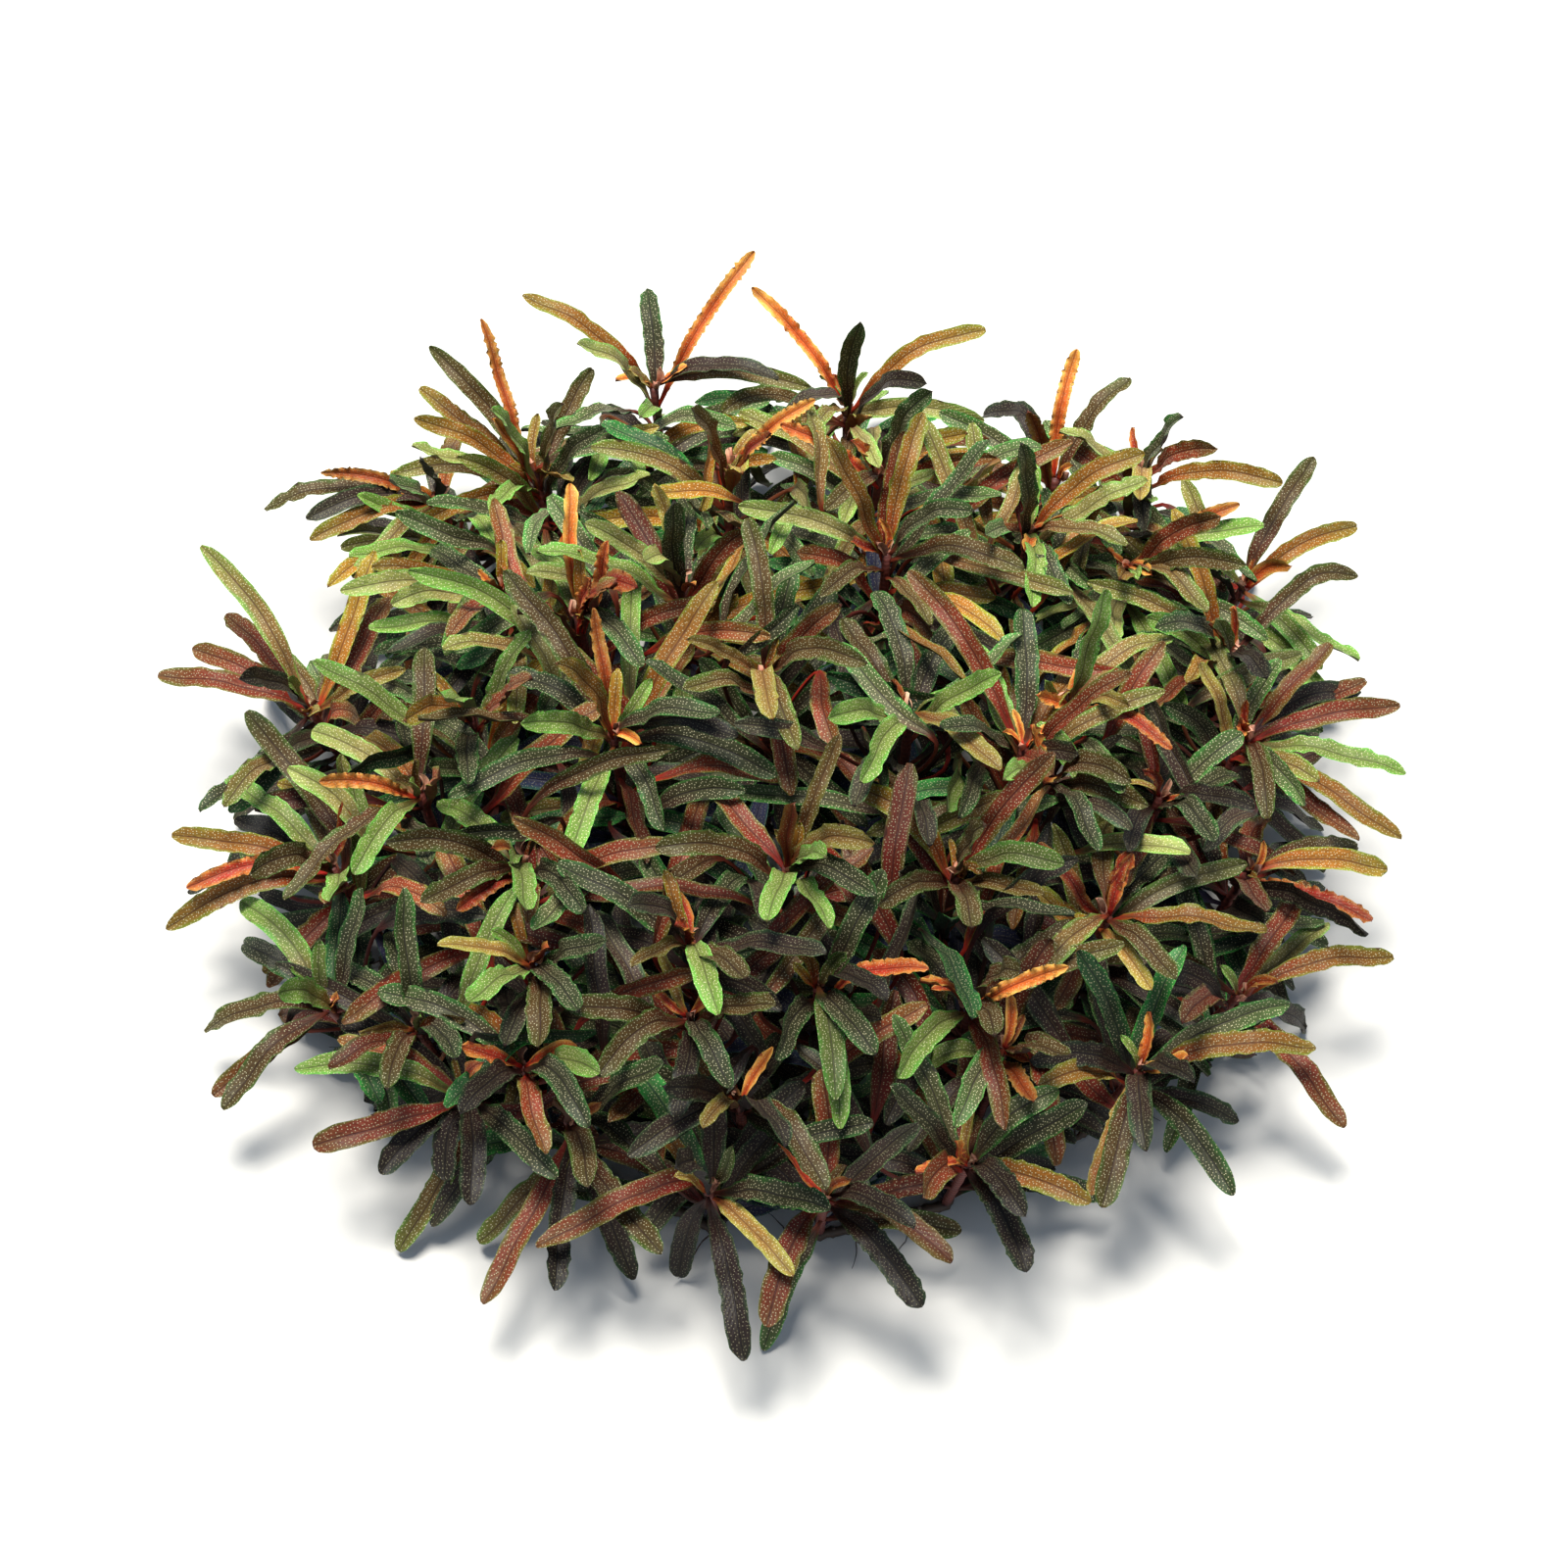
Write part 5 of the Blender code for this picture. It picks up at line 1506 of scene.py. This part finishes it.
def leaf_material(tone, group):
    *colours, amount = LEAF_COLOURS[tone]
    values = {title: linear(colour) for title, colour in zip(LEAF_PARTS, (*colours, SPECKLE))}
    values["Speckle Amount"] = amount
    values["Margin Width"] = YOUNG_MARGIN if tone in YOUNG_TONES else MARGIN
    material, shader, blade = grouped_material(f"leaf_{tone}", group, values, LEAF_BUMP)
    material.node_tree.links.new(blade.outputs["Roughness"], shader.inputs["Roughness"])
    shader.inputs["Specular IOR Level"].default_value = LEAF_SPECULAR
    return material


def bark_group():
    """Bark banded by old leaf scars, in two colours."""
    inputs = {"Dark": "colour", "Light": "colour", "Band Scale": "value"}
    tree, given, result = new_group("scarred_bark", inputs, {"Colour": "colour", "Height": "value"})
    place = put(tree, "ShaderNodeTexCoord").outputs["Object"]
    noise = put(tree, "ShaderNodeTexNoise", {"Vector": place, "Scale": 420.0, "Detail": 4.0})
    bands = {"Vector": place, "Scale": given["Band Scale"], "Distortion": 2.0}
    bands = put(tree, "ShaderNodeTexWave", bands, bands_direction="Z")
    share = calc(tree, "MULTIPLY_ADD", noise.outputs[0], 0.7, calc(tree, "MULTIPLY", bands.outputs[1], 0.3))
    tree.links.new(blend_colours(tree, share, given["Dark"], given["Light"]), result["Colour"])
    tree.links.new(share, result["Height"])
    return tree


def bark_material(name, group, dark, light, band_scale):
    values = {"Dark": linear(dark), "Light": linear(light), "Band Scale": band_scale}
    material, shader, _ = grouped_material(name, group, values, BARK_BUMP)
    shader.inputs["Roughness"].default_value = BARK_ROUGHNESS
    return material


# What each rhizome's stem is grown with, and what differs on the thin runner that shows in front.
STEM = {
    "Radius": 0.0015,
    "Ring Spacing": 0.0034,
    "Knob Height": 0.0006,
    "Bud Spacing": 0.011,
    "Bud Size": 0.0009,
    "Root Spacing": 0.009,
    "Root Length": 0.016,
    "Root Radius": 0.00028,
}
RUNNER = {"Radius": 0.00055, "Knob Height": 0.0001, "Bud Spacing": 1.0, "Root Spacing": 1.0}
RUNNER_PLACES = ((610, 1158), (622, 1169), (650, 1184), (684, 1196), (702, 1200), (726, 1192), (738, 1178))
RUNNER_HEIGHTS = (0.006, 0.005, 0.0045, 0.004, 0.004, 0.0045, 0.006)


def creeping_stem_tree():
    """Grows a creeping stem along a route: a tube ringed by leaf scars, with buds and roots."""
    tree = bpy.data.node_groups.new("creeping_stem", "GeometryNodeTree")
    sockets = tree.interface
    sockets.new_socket("Route", in_out="INPUT", socket_type="NodeSocketGeometry")
    for title in STEM:
        sockets.new_socket(title, in_out="INPUT", socket_type="NodeSocketFloat")
    sockets.new_socket("Seed", in_out="INPUT", socket_type="NodeSocketInt")
    sockets.new_socket("Bark", in_out="INPUT", socket_type="NodeSocketMaterial")
    sockets.new_socket("Stem", in_out="OUTPUT", socket_type="NodeSocketGeometry")
    given = tree.nodes.new("NodeGroupInput").outputs

    def noise_offset(scale, amount):
        place = put(tree, "GeometryNodeInputPosition").outputs[0]
        seeded = put(tree, "ShaderNodeVectorMath", {0: place, 1: given["Seed"]}, operation="ADD").outputs[0]
        noise = put(tree, "ShaderNodeTexNoise", {"Vector": seeded, "Scale": scale, "Detail": 1.0})
        centred = {0: noise.outputs["Color"], 1: (0.5, 0.5, 0.5)}
        middle = put(tree, "ShaderNodeVectorMath", centred, operation="SUBTRACT").outputs[0]
        return put(tree, "ShaderNodeVectorMath", {0: middle, 3: amount}, operation="SCALE").outputs[0]

    def above_floor(geometry, height):
        position = put(tree, "GeometryNodeInputPosition").outputs[0]
        parts = put(tree, "ShaderNodeSeparateXYZ", {0: position}).outputs
        level = calc(tree, "MAXIMUM", parts[2], height)
        place = put(tree, "ShaderNodeCombineXYZ", {0: parts[0], 1: parts[1], 2: level}).outputs[0]
        return put(tree, "GeometryNodeSetPosition", {"Geometry": geometry, "Position": place}).outputs[0]

    def scattered(curve, spacing, low, high, seed_step):
        points = put(tree, "GeometryNodeCurveToPoints", {"Curve": curve, "Length": spacing}, mode="LENGTH")
        seed = calc(tree, "ADD", given["Seed"], seed_step)
        chance = put(tree, "FunctionNodeRandomValue", {"Seed": seed}, data_type="FLOAT_VECTOR")
        chance.inputs[0].default_value = low
        chance.inputs[1].default_value = high
        size = put(tree, "FunctionNodeRandomValue", {"Seed": calc(tree, "ADD", seed, 1)}, data_type="FLOAT")
        size.inputs[2].default_value = 0.55
        size.inputs[3].default_value = 1.1
        return points.outputs["Points"], chance.outputs[0], size.outputs[1]

    route = put(tree, "GeometryNodeMeshToCurve", {"Mesh": given["Route"]}).outputs[0]
    fine = calc(tree, "MULTIPLY", given["Ring Spacing"], 0.2)
    curve = put(tree, "GeometryNodeResampleCurve", {"Curve": route, "Length": fine}, mode="LENGTH").outputs[0]
    wander = noise_offset(60.0, calc(tree, "MULTIPLY", given["Radius"], 1.4))
    curve = put(tree, "GeometryNodeSetPosition", {"Geometry": curve, "Offset": wander}).outputs[0]
    along = put(tree, "GeometryNodeSplineParameter").outputs
    rings = calc(tree, "FRACT", calc(tree, "DIVIDE", along["Length"], given["Ring Spacing"]))
    ringed = calc(tree, "MULTIPLY_ADD", calc(tree, "POWER", rings, 3.0), 0.30, 0.86)
    from_middle = calc(tree, "ABSOLUTE", calc(tree, "MULTIPLY_ADD", along["Factor"], 2.0, -1.0))
    rounded = calc(tree, "SQRT", calc(tree, "SUBTRACT", 1.02, calc(tree, "POWER", from_middle, 24.0)))
    size = calc(tree, "MULTIPLY", calc(tree, "MULTIPLY", given["Radius"], ringed), rounded)
    circle = put(tree, "GeometryNodeCurvePrimitiveCircle", {"Resolution": 9, "Radius": 1.0}).outputs[0]
    tube = {"Curve": curve, "Profile Curve": circle, "Scale": size, "Fill Caps": True}
    tube = put(tree, "GeometryNodeCurveToMesh", tube).outputs[0]
    knobs = noise_offset(700.0, given["Knob Height"])
    tube = put(tree, "GeometryNodeSetPosition", {"Geometry": tube, "Offset": knobs}).outputs[0]

    bud = put(tree, "GeometryNodeMeshIcoSphere", {"Radius": given["Bud Size"], "Subdivisions": 2}).outputs[0]
    points, turn, size = scattered(curve, given["Bud Spacing"], (-0.5, -0.5, 0.0), (0.5, 0.5, math.tau), 11)
    bud_height = calc(tree, "MULTIPLY", given["Radius"], 0.8)
    bud_place = put(tree, "ShaderNodeCombineXYZ", {2: bud_height}).outputs[0]
    points = put(tree, "GeometryNodeSetPosition", {"Geometry": points, "Offset": bud_place}).outputs[0]
    long_bud = put(tree, "ShaderNodeVectorMath", {0: (1.0, 0.7, 1.5), 3: size}, operation="SCALE").outputs[0]
    buds = {"Points": points, "Instance": bud, "Rotation": turn, "Scale": long_bud}
    buds = put(tree, "GeometryNodeInstanceOnPoints", buds).outputs[0]

    reach = put(tree, "ShaderNodeCombineXYZ", {0: given["Root Length"], 2: -0.003}).outputs[0]
    half_length = calc(tree, "MULTIPLY", given["Root Length"], 0.5)
    half = put(tree, "ShaderNodeCombineXYZ", {0: half_length, 2: 0.001}).outputs[0]
    root = {"Resolution": 10, "Start": (0.0, 0.0, 0.0), "Middle": half, "End": reach}
    root = put(tree, "GeometryNodeCurveQuadraticBezier", root).outputs[0]
    points, turn, size = scattered(curve, given["Root Spacing"], (0.0, 0.0, 0.0), (0.0, 0.0, math.tau), 23)
    roots = {"Points": points, "Instance": root, "Rotation": turn, "Scale": size}
    roots = put(tree, "GeometryNodeInstanceOnPoints", roots).outputs[0]
    roots = put(tree, "GeometryNodeRealizeInstances", {"Geometry": roots}).outputs[0]
    bends = noise_offset(150.0, 0.004)
    roots = put(tree, "GeometryNodeSetPosition", {"Geometry": roots, "Offset": bends}).outputs[0]
    roots = above_floor(roots, given["Root Radius"])
    thin = calc(tree, "MULTIPLY_ADD", put(tree, "GeometryNodeSplineParameter").outputs["Factor"], -0.75, 1.0)
    ring = put(tree, "GeometryNodeCurvePrimitiveCircle", {"Resolution": 5, "Radius": 1.0}).outputs[0]
    thin = calc(tree, "MULTIPLY", thin, given["Root Radius"])
    roots = {"Curve": roots, "Profile Curve": ring, "Scale": thin, "Fill Caps": True}
    roots = put(tree, "GeometryNodeCurveToMesh", roots).outputs[0]

    joined = tree.nodes.new("GeometryNodeJoinGeometry")
    for part in (roots, buds, tube):
        tree.links.new(part, joined.inputs[0])
    whole = put(tree, "GeometryNodeRealizeInstances", {"Geometry": joined.outputs[0]}).outputs[0]
    whole = above_floor(whole, 0.0)
    whole = put(tree, "GeometryNodeSetShadeSmooth", {"Geometry": whole}).outputs[0]
    whole = put(tree, "GeometryNodeSetMaterial", {"Geometry": whole, "Material": given["Bark"]}).outputs[0]
    tree.links.new(whole, tree.nodes.new("NodeGroupOutput").inputs[0])
    return tree


def grow_stem(name, tree, route, values):
    """A plain mesh of the creeping stem along this route."""
    line = bpy.data.meshes.new(name)
    line.from_pydata([point[:] for point in route], [(step, step + 1) for step in range(len(route) - 1)], [])
    piece = new_object(name, line)
    modifier = piece.modifiers.new("creeping_stem", "NODES")
    modifier.node_group = tree
    for socket in tree.interface.items_tree:
        if socket.name in values:
            modifier[socket.identifier] = values[socket.name]
    grown = piece.evaluated_get(bpy.context.evaluated_depsgraph_get())
    mesh = bpy.data.meshes.new_from_object(grown)
    piece.modifiers.remove(modifier)
    piece.data = mesh
    mesh.name = name
    return piece


def add_rhizomes(routes, shift, bark):
    tree = creeping_stem_tree()
    for number, route in enumerate(routes, 1):
        lie = [point - shift + Vector((0, 0, RHIZOME_HEIGHT / 2)) for point in route]
        piece = grow_stem(f"creeping_stem_{number}", tree, lie, STEM | {"Seed": number, "Bark": bark})
        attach(piece, "root")
        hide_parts(f"rhizome_{number}")
    arc = []
    for (across, down), height in zip(RUNNER_PLACES, RUNNER_HEIGHTS):
        eye, way = sight_line(across, down)
        arc.append(eye + way * ((height - eye.z) / way.z) - shift)
    piece = grow_stem("runner", tree, arc, STEM | RUNNER | {"Seed": 40, "Bark": bark})
    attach(piece, "root")


def fill_layers(shoots):
    """Gives each shoot its mesh-only leaves."""
    for shoot in shoots:
        shoot.extra = []
        shoot.near = [other for other in shoots if (other.crown - shoot.crown).length < NEIGHBOUR_DISTANCE]
        add_missing(shoot)
    for layer, (count, *_) in enumerate(LAYERS):
        for number in range(count + BACK_EXTRA):
            for shoot in shoots:
                if number < count or shoot.crown.y > BACK_LINE:
                    add_layer_leaf(shoot, layer, number)


def turned_to_light(knots, facing):
    """The facing of a young leaf, turned about its own line to the open side."""
    along = (knots[-1] - knots[0]).normalized()
    open_side = Vector((0, -0.35, 0.9))
    wanted = (open_side - along * open_side.dot(along)).normalized()
    return facing.slerp(wanted, 0.8) if facing.dot(wanted) > -0.9 else wanted


def dress():
    """Makes every piece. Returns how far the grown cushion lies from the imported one."""
    shoots, routes = grow_shoots()
    first_rhizome = rhizome_points(routes[0])
    packed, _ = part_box("rhizome_1")
    shift = Vector((
        min(corner.x for corner in first_rhizome) - packed.x,
        min(corner.y for corner in first_rhizome) - packed.y,
        0,
    ))
    fill_layers(shoots)
    group = leaf_group()
    materials = [leaf_material(tone, group) for tone in TONES]
    bark = bark_group()
    materials.append(bark_material("stem_skin", bark, (70, 30, 28), (122, 58, 46), 190.0))
    add_rhizomes(routes, shift, bark_material("rhizome_skin", bark, (40, 30, 26), (96, 74, 54), 90.0))
    for shoot in shoots:
        leaves = LeafMesh()
        full = FULL_WIDTH - WIDTH_FALL * shoot.crown.y
        for number, (tone, knots, facing, width) in enumerate(shoot.leaves):
            if tone in YOUNG_TONES:
                facing = turned_to_light(knots, facing)
            named = number < len(shoot.named_leaves) - len(shoot.missing)
            width *= COPPER_WIDTH if tone == "copper" else 1
            leaves.add_leaf(tone, knots, facing, width * full, f"fine {shoot.index} {number}", named=named)
        for number, (tone, knots, facing, width, layer, stalk) in enumerate(shoot.extra):
            seed = f"inner {shoot.index} {number}"
            leaves.add_leaf(tone, knots, facing, width * full, seed, *DETAIL[layer], stalk, LAYER_PAINTED_SHADE[layer])
        add_crown(leaves, shoot)
        path = [shoot.foot.lerp(shoot.crown, step / (STEM_STEPS - 1)) for step in range(STEM_STEPS)]
        radii = [STEM_RADIUS * (0.85 + 0.12 * (step % 2)) for step in range(STEM_STEPS)]
        leaves.add_tube(path, radii, len(TONES))
        piece = leaves.build(f"rosette_{shoot.index + 1:02d}", shift, materials)
        node = f"shoot_{shoot.index + 1:02d}"
        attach(piece, "root")
        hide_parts(node)
    return shift


# The stage: a pale floor, a soft sun with its size as an angle, light from all around, and the camera.
FLOOR_REACH = 3.0
FLOOR_COLOUR = (0.76, 0.74, 0.69, 1)
SUN_PLACE = (-0.10, 0.13, 1.0)
SUN_ANGLE = math.radians(26)
SUN_STRENGTH = 5.1
SUN_COLOUR = (1.0, 0.975, 0.93)
SURROUND_STRENGTH = 0.48
SURROUND_COLOUR = (0.62, 0.78, 1.0, 1)
SENSOR_WIDTH = 36


def add_stage(shift):
    corners = [(-FLOOR_REACH, -FLOOR_REACH, 0), (FLOOR_REACH, -FLOOR_REACH, 0)]
    corners += [(FLOOR_REACH, FLOOR_REACH, 0), (-FLOOR_REACH, FLOOR_REACH, 0)]
    floor_mesh = bpy.data.meshes.new("floor")
    floor_mesh.from_pydata(corners, [], [(0, 1, 2, 3)])
    floor = new_object("floor", floor_mesh)
    pale, _, shader = new_material("pale_floor")
    shader.inputs["Base Color"].default_value = FLOOR_COLOUR
    shader.inputs["Roughness"].default_value = 0.9
    floor_mesh.materials.append(pale)

    eye, way = sight_line(PICTURE_MIDDLE, PICTURE_MIDDLE)
    camera = new_object("camera", bpy.data.cameras.new("camera"))
    camera.location = eye - shift
    camera.rotation_euler = way.to_track_quat("-Z", "Y").to_euler()
    camera.data.sensor_width = SENSOR_WIDTH
    camera.data.lens = SENSOR_WIDTH * VIEW_DISTANCE / (PICTURE_SIZE * PIXEL_SIZE)
    bpy.context.scene.camera = camera

    sun = new_object("soft_sun", bpy.data.lights.new("soft_sun", "SUN"))
    sun.data.angle = SUN_ANGLE
    sun.data.energy = SUN_STRENGTH
    sun.data.color = SUN_COLOUR
    sun.rotation_euler = (-Vector(SUN_PLACE)).to_track_quat("-Z", "Y").to_euler()
    world = bpy.data.worlds.new("soft_surround")
    world.use_nodes = True
    world.node_tree.nodes["Background"].inputs[0].default_value = SURROUND_COLOUR
    world.node_tree.nodes["Background"].inputs[1].default_value = SURROUND_STRENGTH
    bpy.context.scene.world = world
    bpy.context.scene.view_settings.view_transform = "Standard"


moved = dress()
add_stage(moved)
